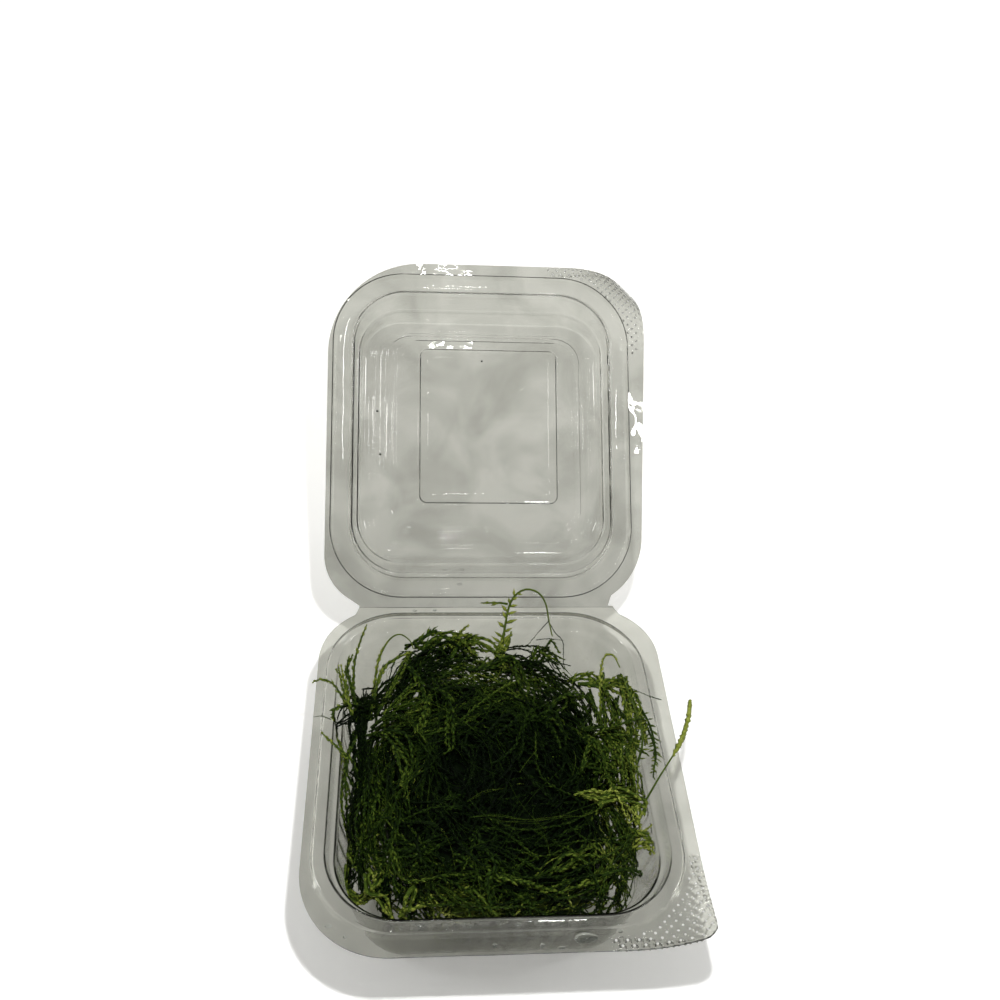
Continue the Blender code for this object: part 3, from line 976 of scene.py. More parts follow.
def mass_level(place):
    """How far out a place is in the mass (1 on its surface), the way outwards, and how fast the level rises."""
    across, along, above = place - MASS_CENTRE
    flat = max(math.hypot(across, along), 1e-6)
    reach = mass_reach(across, along)
    power = MASS_SQUARENESS
    level = ((flat / reach) ** power + abs(above / MASS_HALF_HEIGHT) ** power) ** (1 / power)
    direction = Vector((across / reach, along / reach, above / MASS_HALF_HEIGHT)).normalized()
    lump = sum(height * noise.noise(direction / spread) for height, spread in MASS_LUMPS)
    outer = (flat / reach) ** (power - 1) / reach
    upper = math.copysign(abs(above / MASS_HALF_HEIGHT) ** (power - 1), above) / MASS_HALF_HEIGHT
    rise = Vector((outer * across / flat, outer * along / flat, upper))
    slope = rise.length * max(level, 0.2) ** (1 - power)
    return level - lump * slope, rise.normalized(), slope


def settled(place, level):
    """The place, moved to the given level of the mass."""
    for _ in range(5):
        now, outward, slope = mass_level(place)
        place = place + outward * max(-5 * MM, min(5 * MM, (level - now) / slope))
    return place


def wandering(rng, start, heading, length, level, pitch):
    """A strand's route through the tangle, and the way outwards at each of its places."""
    offset = Vector([rng.uniform(-50, 50) for _ in range(3)])
    place, heading = start.copy(), heading.normalized()
    route, facing = [], []
    turn = WANDER_TURN * pitch / MM
    for _ in range(max(5, round(length / pitch))):
        now, outward, slope = mass_level(place)
        route.append(place.copy())
        facing.append(outward)
        heading = heading + noise.noise_vector(place / WANDER_LENGTH + offset) * turn
        heading -= outward * (heading.dot(outward) * WANDER_FLATTEN)
        heading.normalize()
        drift = max(-1 * MM, min(1 * MM, (level - now) / slope * WANDER_HUG))
        place = place + heading * pitch + outward * drift
    return route, facing


def near(x, y, spot):
    """1 at the middle of a spot (middle x, y, reach x, y, in millimetres), falling to 0 around it."""
    return math.exp(-((x / MM - spot[0]) / spot[2]) ** 2 - ((y / MM - spot[1]) / spot[3]) ** 2)


# Where the mass is thin, and where it is brighter or darker: middle x, y and reach x, y in millimetres, strength.
# The brighter and darker spots are partly the moss's own tone and partly painted light and shade: the dark spot in the
# middle paints the shade deep in the tangle, the bright ones paint light on the outer strands
THIN_SPOTS = (
    ((-33.0, -45.0, 14.0, 8.0), 1.3),
    ((-18.0, -49.0, 8.0, 4.0), 0.8),
    ((-44.0, 40.0, 9.0, 9.0), 1.0),
    ((42.0, 40.0, 9.0, 12.0), 1.0),
)
TONE_LIGHT_SHADE_SPOTS = (
    ((5.0, -13.0, 27.0, 27.0), -0.24),
    ((0.0, -42.0, 40.0, 12.0), 0.10),
    ((-14.0, 40.0, 16.0, 9.0), 0.16),
    ((10.0, 37.0, 14.0, 8.0), 0.22),
    ((-2.0, 29.0, 14.0, 7.0), 0.16),
    ((-27.0, 2.0, 8.0, 20.0), 0.12),
    ((40.0, 8.0, 7.0, 24.0), 0.32),
    ((37.0, -20.0, 7.0, 6.0), 0.36),
    ((32.0, -36.0, 10.0, 8.0), 0.14),
    ((-40.0, -38.0, 7.0, 7.0), 0.30),
    ((-18.0, -47.0, 10.0, 4.0), 0.28),
    ((-38.0, 22.0, 9.0, 12.0), 0.22),
)
BASE_TONE = 0.19


def thinness(place):
    return min(1.0, sum(share * near(place.x, place.y, spot) for spot, share in THIN_SPOTS))


def brightness(place):
    """The tone that strands have at a place, with the spots' painted light and shade."""
    patch = noise.noise(place / (9 * MM))
    total = sum(share * near(place.x, place.y, spot) for spot, share in TONE_LIGHT_SHADE_SPOTS)
    return max(0.02, BASE_TONE + total + 0.14 * patch)


def flowing(rng, place):
    """The way most strands run at a place: round the mass's middle, and turned a little by chance."""
    if rng.random() < 0.25:
        turn = rng.uniform(0, 2 * math.pi)
    else:
        across, along, _ = place - MASS_CENTRE
        turn = math.atan2(along, across) + math.pi / 2 + rng.choice((0, math.pi))
        turn += 1.5 * noise.noise(place / (26 * MM)) + rng.uniform(-0.5, 0.5)
    return Vector((math.cos(turn), math.sin(turn), rng.uniform(-0.15, 0.15)))


def top_start(rng):
    turn = rng.uniform(0, 2 * math.pi)
    flat = math.sqrt(rng.random()) * 0.97 * mass_reach(math.cos(turn), math.sin(turn))
    return MASS_CENTRE + Vector((flat * math.cos(turn), flat * math.sin(turn), MASS_HALF_HEIGHT * 0.95))


def side_start(rng):
    turn = rng.uniform(0, 2 * math.pi)
    flat = 0.95 * mass_reach(math.cos(turn), math.sin(turn))
    height = rng.uniform(-0.85, 0.75) * MASS_HALF_HEIGHT
    return MASS_CENTRE + Vector((flat * math.cos(turn), flat * math.sin(turn), height))


def add_strands(growth, rng, count, starts, levels, lengths, habit, shift=0.0, glow=0.2):
    """Strands that wander from random starts; a strand ends where the moss is thin."""
    for _ in range(count):
        level = rng.uniform(*levels)
        start = settled(starts(rng), level)
        if rng.random() < thinness(start):
            continue
        length = rng.uniform(*lengths) * MM
        route, facing = wandering(rng, start, flowing(rng, start), length, level, habit.pitch * MM)
        patience = 0.35 + 0.65 * rng.random()
        kept = next((i for i, place in enumerate(route) if thinness(place) > patience), len(route))
        if kept < 5:
            continue
        route, facing = route[:kept], facing[:kept]
        tones = np.array([brightness(place) for place in route]) + shift + rng.triangular(-0.14, 0.26, -0.06)
        add_strand(growth, route, facing, rng, habit, tones, glow, (0.05, 1.0), rng.uniform(-0.7, 0.7),
                   rng.uniform(0.75, 1.15))


def make_core(material):
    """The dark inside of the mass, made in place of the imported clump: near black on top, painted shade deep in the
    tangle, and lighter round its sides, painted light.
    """
    form = bmesh.new()
    bmesh.ops.create_icosphere(form, subdivisions=CORE_SUBDIVISIONS, radius=1.0)
    points, tones = [], []
    for vertex in form.verts:
        across, along, above = vertex.co.normalized()
        power = MASS_SQUARENESS
        flat = max(math.hypot(across, along), 1e-6)
        size = CORE_SHARE * (flat ** power + abs(above) ** power) ** (-1 / power)
        reach = mass_reach(across, along)
        place = Vector((across * size * reach, along * size * reach, above * size * MASS_HALF_HEIGHT))
        lump = sum(height * noise.noise(place / spread) for height, spread in CORE_LUMPS)
        points.append(MASS_CENTRE + place + place.normalized() * lump)
        # Painted light and shade: lighter round the sides, near black on top and underneath
        side = min(1.0, flat) ** 3 * (1 - max(above, 0.0))
        mottling = CORE_MOTTLING[0] * noise.noise(place / CORE_MOTTLING[1])
        tones.append(CORE_SHADE_TONE + side * max(0.0, CORE_LIT_SIDE_TONE + mottling))
    triangles = np.array([[v.index for v in face.verts] for face in form.faces])
    form.free()
    growth = Growth()
    growth.add(np.array(points), triangles, np.array(tones))
    core = growth.made("moss_core", material)
    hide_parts("moss_clump")


# Pieces of the tangle: seed, strands, starts, levels in the mass, lengths in millimetres, habit, tone shift. The deep
# strands' lower tone is painted shade, and the side strands' higher tone is painted light on the mass's sides
TANGLE_PIECES = {
    "moss_deep_strands": (3, 180, top_start, (0.84, 0.93), (16, 44), TANGLE, -0.10),
    "moss_top_strands_1": (11, 250, top_start, (0.93, 1.02), (18, 55), TANGLE, -0.02),
    "moss_top_strands_2": (12, 170, top_start, (0.97, 1.06), (18, 55), LOOSE, 0.03),
    "moss_side_strands": (21, 390, side_start, (0.84, 1.0), (14, 40), TANGLE, 0.32),
}
HAIRS = 90


def make_tangle(material):
    for name, (seed, count, starts, levels, lengths, habit, shift) in TANGLE_PIECES.items():
        growth = Growth()
        add_strands(growth, random.Random(seed), count, starts, levels, lengths, habit, shift)
        piece = growth.made(name, material)
        if starts is top_start:
            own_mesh(piece)
    growth = Growth()
    add_strands(growth, random.Random(31), HAIRS, top_start, (1.0, 1.07), (20, 50), HAIR, 0.30, 0.0)
    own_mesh(growth.made("moss_hair_strands", material))


def smooth_route(points, spacing):
    """Evenly spaced places along a smooth curve through the points, which are in millimetres."""
    knots = [Vector(point) * MM for point in points]
    padded = [2 * knots[0] - knots[1], *knots, 2 * knots[-1] - knots[-2]]
    fine = []
    for a, b, c, d in zip(padded, padded[1:], padded[2:], padded[3:]):
        for step in range(ROUTE_STEPS):
            t = step / ROUTE_STEPS
            fine.append(0.5 * ((2 * b) + (c - a) * t + (2 * a - 5 * b + 4 * c - d) * t * t
                               + (3 * b - a - 3 * c + d) * t ** 3))
    fine = np.array([*fine, knots[-1]])
    lengths = np.concatenate(([0.0], np.cumsum(np.linalg.norm(np.diff(fine, axis=0), axis=1))))
    wanted = np.linspace(0.0, lengths[-1], max(4, round(lengths[-1] / spacing)) + 1)
    return np.stack([np.interp(wanted, lengths, fine[:, axis]) for axis in range(3)], axis=1)


FROND_FACING = (-0.10, -0.62, 0.78)
ROUTE_STEPS = 14

# Fronds that stand clear of the mass, one for each solid: habit, tone, leafy part, route in millimetres
NAMED_FRONDS = {
    "frond_arching": (COMB, 0.62, (0.0, 0.5), (
        (4.8, 38.7, 38.0), (5.3, 41.2, 42.5), (6.1, 45.0, 47.2), (7.3, 48.3, 53.0), (9.4, 49.3, 57.5),
        (12.9, 49.4, 59.9), (17.0, 48.7, 58.7), (19.5, 46.9, 55.2), (20.8, 45.1, 49.5), (22.0, 42.1, 45.4))),
    "frond_arching_twig": (CORD, 0.55, (0.2, 0.9), ((6.9, 48.6, 53.4), (3.9, 49.4, 53.2), (-1.9, 50.2, 52.4))),
    "frond_back": (CORD, 0.5, (0.3, 1.0), (
        (-13.5, 40.5, 37.0), (-11.3, 44.4, 39.5), (-9.7, 46.0, 41.0), (-7.7, 47.0, 43.0), (-6.0, 47.8, 44.2))),
    "frond_left_back": (CORD, 0.45, (0.0, 1.0), (
        (-43.5, 20.0, 38.0), (-43.7, 27.9, 41.3), (-43.4, 32.4, 44.3), (-42.0, 36.6, 47.7), (-40.0, 41.2, 50.9))),
    "frond_left_edge": (CORD, 0.42, (0.0, 1.0), (
        (-43.0, 14.5, 38.0), (-47.3, 19.5, 42.9), (-50.1, 22.6, 44.6), (-53.3, 23.6, 45.4), (-55.9, 23.1, 44.8))),
    "frond_left_arch": (CORD, 0.6, (0.0, 0.62), (
        (-38.0, 20.2, 38.0), (-37.0, 27.2, 39.0), (-36.4, 31.4, 41.6), (-35.0, 35.2, 44.6), (-32.2, 39.5, 46.6),
        (-28.9, 40.9, 47.4), (-25.6, 40.1, 45.2), (-24.4, 38.8, 42.6))),
    "frond_left_low": (CORD, 0.42, (0.0, 1.0), (
        (-40.5, -12.0, 36.0), (-42.0, -4.6, 39.0), (-45.0, -2.2, 41.6), (-48.5, 0.9, 42.8), (-51.8, 3.9, 43.4))),
    "frond_right_arch": (CORD, 0.62, (0.0, 0.9), (
        (34.5, 8.4, 38.5), (35.9, 20.5, 41.5), (36.6, 27.0, 43.4), (38.4, 32.3, 45.4), (41.2, 32.0, 46.4),
        (42.9, 27.9, 45.4))),
    "frond_right_side": (BRISTLE, 0.55, (0.0, 1.0), (
        (43.0, -7.6, 40.0), (45.5, -2.0, 42.4), (46.3, 3.6, 43.4), (45.6, 9.6, 44.4), (44.2, 16.4, 45.4),
        (43.2, 22.2, 46.0))),
    "sprig_right": (CLUB, 0.60, (0.5, 1.0), (
        (43.0, -20.2, 38.0), (48.6, -13.2, 42.2), (51.8, -9.2, 43.4), (54.4, -6.0, 44.6), (57.0, -2.6, 46.4),
        (59.0, 1.2, 48.2), (60.4, 4.9, 49.8), (61.4, 8.8, 50.8))),
}


def make_fronds(material):
    rng = random.Random(7)
    for name, (habit, tone, leafy, points) in NAMED_FRONDS.items():
        growth = Growth()
        route = smooth_route(points, habit.pitch * MM)
        add_strand(growth, route, FROND_FACING, rng, habit, np.full(len(route), tone), 0.3, leafy)
        piece = growth.made(name + "_leafy", material)
        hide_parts(name)
        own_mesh(piece)


# Bundles of strands that show at the tangle's edges: strands, spread in millimetres, habit, tone, route
EDGE_BUNDLES = (
    (5, 1.6, TANGLE, 0.05, ((-49, 12, 38.5), (-44, 13.5, 39.5), (-38.5, 15.5, 40.5), (-33.5, 19.5, 40),
        (-29, 27, 39.5))),
    (14, 1.3, TANGLE, 0.0, ((-39.5, 19, 38.5), (-41.5, 11, 38.5), (-41, 2, 37.5), (-40, -9.5, 35.5),
        (-41.5, -20.5, 33.5), (-41, -30.5, 29), (-42.5, -34, 24))),
    (8, 1.2, TANGLE, 0.02, ((-38, 19, 39), (-40, 9.5, 39), (-40, -3, 37.5), (-40, -15.5, 35.5),
        (-39.5, -27, 31), (-39, -37, 27))),
    (8, 2.2, LOOSE, 0.2, ((-38, 4, 38.5), (-37.5, -8, 37.5), (-38.5, -20, 35), (-37, -33, 30))),
    (4, 1.6, CORD, 0.34, ((-43, 8, 38.5), (-44.5, -3, 36.5), (-43.5, -14, 33.5), (-43, -25, 29))),
    (3, 0.7, CORD, 0.38, ((-41.5, 12.5, 39.5), (-44, 22.5, 41.5), (-46.5, 29.5, 44), (-45, 33, 46))),
    (3, 0.9, CORD, 0.5, ((-43, 12.5, 39.5), (-44.5, 18, 41), (-47.5, 24, 42.5), (-48.5, 28.5, 43.5))),
    (2, 0.6, CORD, 0.45, ((-38.5, 12.5, 39.5), (-36.5, 21.5, 41.5), (-34, 29, 43), (-31, 33, 43.5),
        (-26, 36, 43))),
    (3, 0.7, CORD, 0.42, ((-36, 14.5, 39.5), (-32.5, 21.5, 41.5), (-29, 29.5, 42), (-26, 36, 42.5))),
    (3, 0.9, CORD, 0.34, ((-34.5, 14, 39.5), (-30, 18.5, 41), (-26, 22.5, 41), (-22.5, 25.5, 41))),
    (3, 0.6, TANGLE, 0.3, ((-40, 6, 39), (-35, 6.5, 40), (-30, 8, 40.5), (-25, 11, 40.5))),
    (2, 0.7, CORD, 0.44, ((-43.5, 18, 40), (-49.5, 14, 41.5), (-50, 9.5, 39.5), (-47, 3.5, 37.5),
        (-45.5, -4, 35.5))),
    (1, 0.2, TWIG, 0.4, ((-50, 11.5, 41), (-53, 12.5, 41.5), (-55, 12, 41.5))),
    (3, 1.0, RIBBON, 0.6, ((-44, -30, 26), (-43.5, -35.5, 23), (-40.5, -38.5, 21.5), (-37, -38.5, 23),
        (-34.5, -36.5, 27.5))),
    (2, 1.0, RIBBON, 0.64, ((-42.5, -29, 29.5), (-41, -30.5, 27), (-38, -33.5, 26), (-34.5, -36, 28.5))),
    (2, 1.0, RIBBON, 0.6, ((-27, -44, 24), (-24, -42, 27), (-20, -41.5, 28), (-16.5, -43, 26))),
    (3, 1.2, RIBBON, 0.52, ((-13, -44, 27), (-10, -45, 29), (-6, -45.5, 29.5), (-3, -45, 29))),
    (3, 1.2, RIBBON, 0.6, ((-37, -34, 31), (-35.5, -38, 30), (-33, -42, 27), (-30, -44, 22))),
    (5, 1.6, CORD, 0.06, ((-31, -36, 31), (-31.5, -40, 26), (-31, -43, 20), (-30.5, -43.5, 14))),
    (3, 1.0, RIBBON, 0.56, ((-24, -38, 31), (-26, -42, 30), (-27.5, -44, 25), (-26, -44.5, 19))),
    (3, 2.5, CORD, 0.16, ((-22, -38, 31), (-22.5, -42, 26), (-21, -43.5, 20), (-21.5, -44, 15))),
    (5, 1.1, CORD, 0.64, ((24, -17, 40), (31.5, -17.5, 40.5), (36.5, -18, 40.5), (40, -23.5, 38.5))),
    (3, 0.9, CORD, 0.52, ((26.5, 27.5, 39), (33, 27, 41), (37.5, 24.5, 41.5), (43.5, 20, 42))),
    (6, 1.8, CORD, 0.42, ((37, 27.5, 40.5), (38, 14, 39.5), (38, 3.5, 38.5), (37.5, -7, 36.5),
        (37, -18, 34))),
    (5, 1.6, CORD, 0.36, ((31.5, 22.5, 39.5), (34.5, 10.5, 39), (35.5, -1, 38.5), (36, -14.5, 36.5))),
    (5, 1.2, CORD, 0.54, ((43, 26, 44), (43.5, 16.5, 43.5), (44, 7.5, 42), (43, -1.5, 40),
        (42, -10.5, 38), (40.5, -20, 34))),
    (6, 2.2, LOOSE, 0.38, ((40, 20, 40), (41, 8, 39.5), (40, -6, 38), (40, -20, 34), (38, -30, 30))),
    (8, 4.0, LOOSE, 0.36, ((29, 8, 39.5), (34.5, 5, 40), (40, 3, 39.5), (44, -3, 39))),
    (8, 4.0, LOOSE, 0.38, ((29, -9, 39.5), (34.5, -8, 39.5), (40, -10, 39), (43, -16, 37))),
    (3, 0.8, CORD, 0.6, ((27.5, -34, 34), (35.5, -30.5, 34), (40.5, -28.5, 33.5), (43.5, -25, 34))),
    (6, 2.0, LOOSE, 0.34, ((34, -20, 37), (38, -28, 33), (39, -36, 28), (36, -43, 23))),
    (1, 0.2, TWIG, 0.3, ((55.5, 17.5, 41.5), (51, 17.5, 43), (46.5, 20.5, 43.5))),
    (7, 1.5, CORD, 0.5, ((3.5, 34.5, 37.5), (4.5, 38.5, 40.5), (5.5, 41, 42.5), (6, 43, 44.5))),
    (5, 2.2, CORD, 0.44, ((-13, 38, 38), (-12, 42, 39.5), (-9, 44, 40.5), (-5, 44.5, 40.5))),
    (4, 1.6, CORD, 0.34, ((14, 33, 38.5), (17, 37, 40), (21, 38.5, 40.5), (25, 37, 39.5))),
    (1, 0.2, TWIG, 0.3, ((21, 45, 49.5), (17, 42, 46), (13.5, 40, 41.5))),
    (1, 0.2, TWIG, 0.25, ((21, 44.5, 48.5), (23.5, 43, 45), (26, 42.5, 41.5), (25.5, 34, 39),
        (29, 30.5, 36.5))),
    (1, 0.2, TWIG, 0.25, ((17, 42.5, 42.5), (20.5, 42, 44), (25.5, 41, 44))),
    (1, 0.2, TWIG, 0.2, ((18, 38, 41.5), (20.5, 37.5, 42.5), (23, 36, 41.5), (25.5, 33, 39))),
    (9, 2.2, LOOSE, 0.06, ((-27, 30, 39), (-21, 37, 39.5), (-13, 40, 39.5), (-5, 38, 39.5))),
    (9, 2.4, LOOSE, 0.1, ((-30, 22, 39), (-24, 31, 39.5), (-15, 35, 39.5), (-6, 33, 39.5))),
    (8, 2.0, LOOSE, 0.1, ((2, 34, 39.5), (10, 34, 39.5), (18, 31, 39.5), (24, 24, 39.5))),
    (3, 0.8, CORD, 0.1, ((-37, 20, 39.5), (-33, 25, 40.5), (-29, 31, 40.5), (-24, 38, 40))),
    (4, 1.0, THICK, 0.44, ((-22.5, 41, 39.5), (-17, 43.5, 40.5), (-10, 42.5, 40.5), (-3, 39, 40.5))),
    (4, 1.6, THICK, 0.38, ((14, -40, 38), (20, -38, 38.5), (27, -35, 38), (33, -30, 37))),
    (4, 1.8, THICK, 0.30, ((-12, -36, 39), (-4, -40, 38.5), (5, -43, 37), (13, -44, 35))),
    (3, 1.6, THICK, 0.36, ((26, -44, 30), (31, -41, 33), (35, -37, 34), (38, -32, 34))),
    (3, 1.8, THICK, 0.4, ((-25.5, 41.5, 39.5), (-18.5, 46, 40.5), (-12, 46, 40.5), (-6.5, 43.5, 40.5),
        (0, 37.5, 40.5))),
    (3, 1.2, THICK, 0.42, ((-12.5, 36.5, 40), (-8, 42.5, 41), (-1, 42.5, 41), (3.5, 37, 41),
        (6, 32.5, 40))),
    (4, 1.4, TANGLE, 0.16, ((4, 39.5, 40.5), (10.5, 38.5, 40.5), (17, 37.5, 40.5), (22, 35, 40.5),
        (25, 30, 40))),
    (3, 1.6, THICK, 0.32, ((-6, 30.5, 40.5), (0, 33.5, 41), (5.5, 32.5, 41), (11, 27.5, 41),
        (11.5, 20.5, 40.5))),
    (3, 1.0, THICK, 0.52, ((29.5, 25, 40.5), (36.5, 25.5, 41), (43.5, 24, 41.5), (46.5, 18.5, 41.5),
        (47.5, 9.5, 41.5), (47.5, 1, 41))),
    (4, 1.2, THICK, 0.46, ((42.5, 27.5, 41.5), (44.5, 18.5, 41), (44, 9.5, 41), (43.5, 1.5, 41),
        (41.5, -6.5, 40.5))),
    (2, 0.8, SPIKY, 0.44, ((48, 12, 42), (50, 4.5, 42.5), (49.5, -3.5, 42), (47.5, -10, 41.5))),
    (4, 1.5, THICK, 0.4, ((35.5, 5.5, 40), (39, 2, 40), (41, -3, 40), (40.5, -10.5, 39.5))),
    (4, 2.0, THICK, 0.26, ((27, 4, 40), (31.5, -1, 40), (34.5, -6, 40), (34.5, -13.5, 39.5))),
    (4, 0.9, THICK, 0.56, ((31, -33, 33), (36, -31.5, 33.5), (42, -30, 33.5), (44.5, -31.5, 33))),
    (3, 0.9, THICK, 0.5, ((37, -24.5, 35), (41, -27, 35.5), (44, -28.5, 35), (44.5, -31, 34))),
    (4, 1.8, THICK, 0.36, ((11.5, -44.5, 35), (19, -44, 36), (26.5, -41, 36), (32, -37.5, 36))),
    (3, 1.8, THICK, 0.14, ((-7, -29, 40), (-4, -34.5, 40), (-1.5, -41, 38.5), (-3.5, -45.5, 35))),
    (5, 1.4, THICK, 0.24, ((-39, -4.5, 38.5), (-37, -12.5, 38), (-37.5, -19.5, 36), (-38, -28, 32))),
    (4, 1.6, THICK, 0.28, ((-33, 7.5, 40.5), (-28.5, 2.5, 41), (-26.5, -5.5, 40.5), (-28.5, -13, 40.5))),
    (4, 1.5, TANGLE, 0.3, ((-37.5, 9, 40), (-31.5, 11, 40.5), (-26, 9, 40.5), (-20.5, 3, 40.5))),
    (3, 1.0, RIBBON, 0.56, ((-42, -21.5, 25), (-43.5, -29.5, 24), (-41.5, -35.5, 24), (-37, -39.5, 24),
        (-32.5, -38, 25))),
    (3, 1.0, RIBBON, 0.5, ((-37, -27, 30), (-33, -32, 29), (-34, -37.5, 28), (-38, -40, 26))),
    (4, 1.4, THICK, 0.44, ((-25, -35.5, 31), (-19.5, -33.5, 32), (-15.5, -36.5, 31), (-14.5, -42.5, 29))),
    (3, 1.0, SPIKY, 0.06, ((-28.5, -36.5, 29), (-27, -41, 27), (-24, -44, 24))),
    (3, 1.0, SPIKY, 0.04, ((-33.5, -35.5, 29), (-32.5, -40, 27), (-33, -43, 24))),
    (4, 1.2, THICK, 0.44, ((-13.5, -42.5, 30), (-9.5, -40.5, 31), (-5.5, -42, 30.5), (-4, -45, 29))),
    (7, 1.2, RIBBON, 0.54, ((30.5, -20, 40), (35, -18, 40.5), (40, -18.5, 40.5), (42, -21.5, 40),
        (41, -26, 38.5))),
    (3, 1.6, THICK, 0.24, ((16.5, 10, 40.5), (21, 15, 41), (25.5, 18.5, 41), (30, 18.5, 40.5))),
    (3, 1.6, THICK, 0.24, ((-19, 24.5, 40.5), (-15, 17.5, 41), (-12.5, 8.5, 41), (-13.5, 0.5, 40.5))),
    (3, 1.8, THICK, 0.14, ((-1.5, 5.5, 41), (4, 10, 41), (11, 12, 41), (18, 10, 41), (22.5, 5, 40.5))),
    (3, 1.6, THICK, 0.26, ((-26, 31.5, 40.5), (-21.5, 24.5, 41), (-20.5, 15.5, 41), (-23, 7, 40.5))),
    (2, 0.5, HAIR, 0.5, ((-9, -19.5, 42), (-3, -16.5, 42), (1.5, -15.5, 42))),
    (2, 0.4, HAIR, 0.52, ((-8, -25, 42), (-1, -24.5, 42), (8, -25, 42), (18, -26, 42), (25.5, -24.5, 42),
        (32, -21, 41.5))),
    (2, 0.5, HAIR, 0.48, ((9, -28.5, 42), (12.5, -32, 42), (14, -36.5, 41.5))),
    (2, 0.5, HAIR, 0.5, ((15, -37.5, 41.5), (20, -37, 42), (27.5, -34.5, 41.5))),
    (1, 0.3, HAIR, 0.5, ((7, -10, 42), (9.5, -6, 42), (13, -1.5, 42))),
    (1, 0.2, HAIR, 0.44, ((-19.5, 1, 42), (-12, 2.5, 43), (-4, 7.5, 43), (1.5, 17, 42))),
    (1, 0.2, HAIR, 0.42, ((-11.5, -43, 40), (0, -35, 41), (9.5, -19, 41.5), (20, -8, 41))),
    (2, 0.5, HAIR, 0.46, ((34.5, -18, 41), (22.5, -23.5, 42), (12, -26.5, 42), (-5, -25, 41))),
    (1, 0.2, HAIR, 0.42, ((1.5, -6, 41.5), (6.5, -20, 42), (13, -29, 41.5))),
)


# The dark knot at the left: middle, half sizes and strands
KNOT = ((-39.5, 17.5, 38.6), (5.0, 3.6, 1.8), 84)


def add_knot(growth, rng):
    middle, half, count = KNOT
    for _ in range(count):
        spot = Vector([m + h * rng.gauss(0, 0.5) for m, h in zip(middle, half)])
        along = Vector((rng.gauss(0, 1), rng.gauss(0, 1), rng.gauss(0, 0.35))).normalized() * rng.uniform(1.8, 4.2)
        bow = Vector((rng.gauss(0, 1.2), rng.gauss(0, 1.2), rng.gauss(0, 0.8)))
        route = smooth_route((spot - along, spot + bow, spot + along), TANGLE.pitch * MM)
        tone = rng.triangular(0.0, 0.24, 0.02)
        add_strand(growth, route, FROND_FACING, rng, TANGLE, np.full(len(route), tone), 0.2)


def strayed(points, spread, rng):
    """The route with each of its points moved a little, less at its start."""
    return [tuple(value + rng.gauss(0, spread * (0.6 if i == 0 else 1.0)) for value in point)
            for i, point in enumerate(points)]


def make_edges(material):
    rng = random.Random(19)
    growth = Growth()
    for count, spread, habit, tone, points in EDGE_BUNDLES:
        for _ in range(count):
            route = smooth_route(strayed(points, spread, rng), habit.pitch * MM)
            tones = np.full(len(route), tone + rng.uniform(-0.06, 0.08))
            add_strand(growth, route, FROND_FACING, rng, habit, tones, 0.24, (0.0, 1.0), rng.uniform(-0.8, 0.8),
                       rng.uniform(0.85, 1.1))
    add_knot(growth, rng)
    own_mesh(growth.made("moss_edge_strands", material))


# The photograph's view

CAMERA_PLACE = (-0.0270, -0.1933, 0.3034)
CAMERA_YAW = 6.69
CAMERA_PITCH = 39.99
CAMERA_ROLL = 4.77
CAMERA_LENS = 37.42


def make_camera():
    yaw, pitch, roll = (math.radians(v) for v in (CAMERA_YAW, CAMERA_PITCH, CAMERA_ROLL))
    forward = Vector((math.sin(yaw) * math.cos(pitch), math.cos(yaw) * math.cos(pitch), -math.sin(pitch)))
    level = Vector((math.cos(yaw), -math.sin(yaw), 0.0))
    upright = level.cross(forward)
    right = math.cos(roll) * level + math.sin(roll) * upright
    up = math.cos(roll) * upright - math.sin(roll) * level
    data = bpy.data.cameras.new("camera")
    data.lens = CAMERA_LENS
    data.clip_start = 0.01
    camera = bpy.data.objects.new("camera", data)
    camera.matrix_world = Matrix.Translation(CAMERA_PLACE) @ Matrix((right, up, -forward)).transposed().to_4x4()
    bpy.context.scene.collection.objects.link(camera)
    bpy.context.scene.camera = camera


def make_floor(material):
    mesh = bpy.data.meshes.new("floor")
    form = bmesh.new()
    bmesh.ops.create_grid(form, x_segments=2, y_segments=2, size=4.0)
    form.to_mesh(mesh)
    form.free()
    floor = new_object("floor", mesh, material)
    floor.location.z = -0.0002


def lit(name, kind, power, place, aim=(0.0, 0.0, 0.0), colour=(1.0, 1.0, 1.0)):
    data = bpy.data.lights.new(name, kind)
    data.energy = power
    data.color = colour
    lamp = bpy.data.objects.new(name, data)
    lamp.location = place
    lamp.rotation_euler = (Vector(aim) - Vector(place)).to_track_quat("-Z", "Y").to_euler()
    lamp.visible_camera = False
    bpy.context.scene.collection.objects.link(lamp)
    return data


# Lamps that the sheet mirrors: place, what they face, width and length in metres, watts
STRIPS = (
    ((-0.75, 0.10, 0.55), (0.0, 0.05, 0.05), (0.07, 0.34), 1.0),
    ((0.80, 0.05, 0.60), (0.0, 0.05, 0.05), (0.07, 0.30), 1.1),
    ((0.05, 0.75, 0.60), (0.0, 0.0, 0.04), (0.20, 0.02), 0.18),
    ((0.219, -0.272, 0.762), (0.053, 0.115, 0.082), (0.010, 0.070), 0.08),
    ((-0.076, -0.265, 0.786), (-0.044, 0.120, 0.086), (0.010, 0.160), 0.13),
    ((0.014, -0.145, 0.859), (-0.014, 0.155, 0.118), (0.026, 0.004), 0.012),
    ((0.028, -0.209, 0.821), (-0.009, 0.136, 0.101), (0.034, 0.010), 0.035),
    ((0.120, 0.250, 0.770), (0.014, -0.058, 0.038), (0.040, 0.036), 0.11),
)


def make_light():
    near = lit("near_lamp", "POINT", NEAR_LAMP_POWER, NEAR_LAMP)
    near.shadow_soft_size = NEAR_LAMP_RADIUS
    bpy.data.objects["near_lamp"].visible_glossy = False
    for index, (place, aim, size, power) in enumerate(STRIPS):
        strip = lit(f"strip_{index + 1}", "AREA", power, place, aim)
        strip.shape = "RECTANGLE"
        strip.size, strip.size_y = size


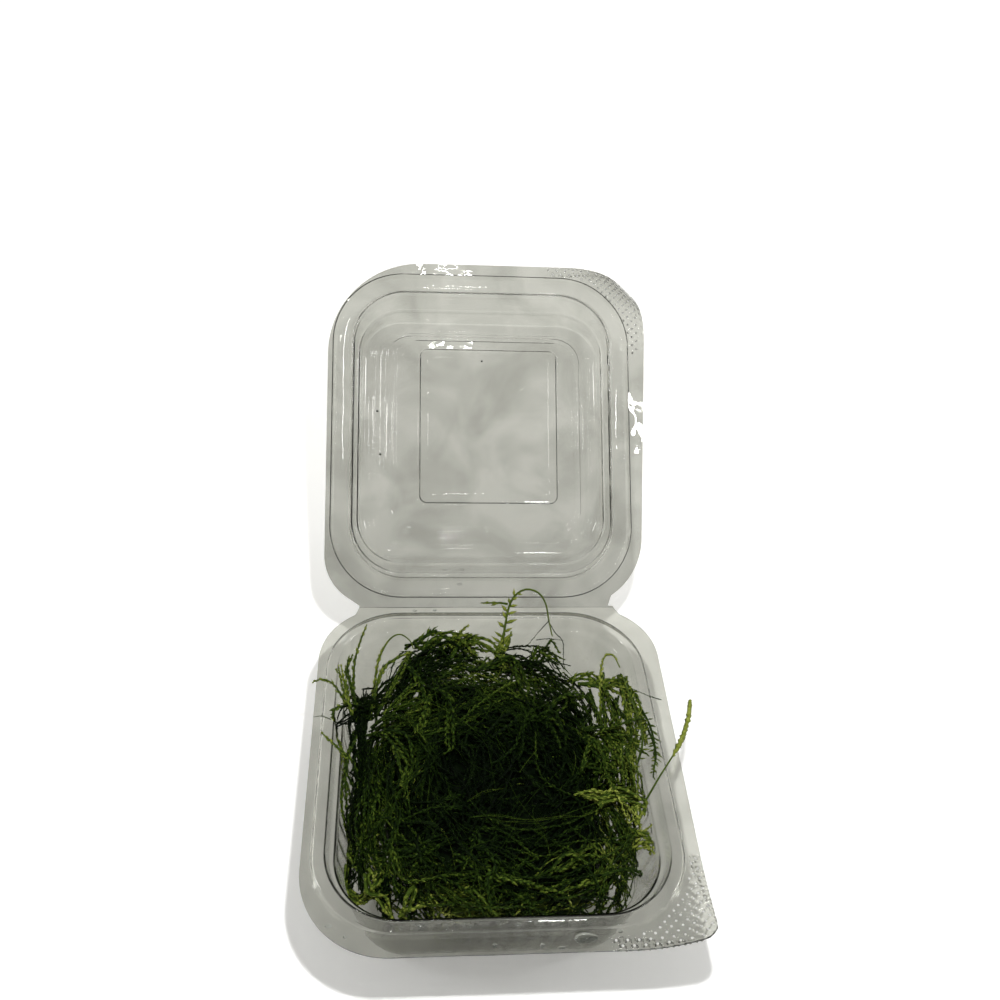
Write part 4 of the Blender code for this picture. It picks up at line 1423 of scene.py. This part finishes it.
# The pale room around the box: its brightness by height, from straight down to straight up
ROOM_HEIGHTS = ((0.0, 0.13), (0.48, 0.42), (0.62, 0.30), (1.0, 0.33))


def make_world():
    world = bpy.data.worlds.new("pale_room")
    world.use_nodes = True
    nodes, links = world.node_tree.nodes, world.node_tree.links
    place = nodes.new("ShaderNodeTexCoord")
    split = nodes.new("ShaderNodeSeparateXYZ")
    links.new(place.outputs["Generated"], split.inputs["Vector"])
    height = nodes.new("ShaderNodeMapRange")
    height.inputs["From Min"].default_value = -1.0
    links.new(split.outputs["Z"], height.inputs["Value"])
    ramp = nodes.new("ShaderNodeValToRGB")
    stops = ramp.color_ramp.elements
    while len(stops) < len(ROOM_HEIGHTS):
        stops.new(0.5)
    for stop, (position, value) in zip(stops, ROOM_HEIGHTS):
        stop.position = position
        stop.color = (value, value, value * 0.985, 1.0)
    links.new(height.outputs["Result"], ramp.inputs["Fac"])
    links.new(ramp.outputs["Color"], nodes["Background"].inputs["Color"])
    bpy.context.scene.world = world


def set_view():
    scene = bpy.context.scene
    scene.view_settings.view_transform = "Standard"
    scene.cycles.max_bounces = 24
    scene.cycles.transmission_bounces = 20
    scene.cycles.transparent_max_bounces = 12
    scene.cycles.glossy_bounces = 8
    scene.cycles.diffuse_bounces = 4
    scene.cycles.use_denoising = True
    scene.cycles.caustics_reflective = True
    scene.cycles.caustics_refractive = True


def main():
    make_camera()
    set_view()
    make_floor(floor_material())
    make_light()
    make_world()
    lid_plastic = plastic_material("clear_plastic_lid", LID_TINTS)
    make_tray(plastic_material("clear_plastic_tray", TRAY_TINTS_PAINTED_LIGHTER))
    make_lid(lid_plastic)
    make_crease(lid_plastic)
    # The knurl's pale points are painted highlights
    knurl_highlight = knurl_highlight_material()
    make_tips("tray_knurl_points", TRAY_KNURL_FROM, TRAY_RIM_CORNERS[1], RIM_TAPER, TRAY_TAB_BEND, False, knurl_highlight)
    make_tips("lid_knurl_points", LID_KNURL_FROM, LID_RIM_CORNERS[1], 0.0, LID_TAB_BEND, True, knurl_highlight)
    moss = moss_material()
    make_drops(water_material(), moss)
    make_core(moss)
    make_tangle(moss)
    make_fronds(moss)
    make_edges(moss)


main()
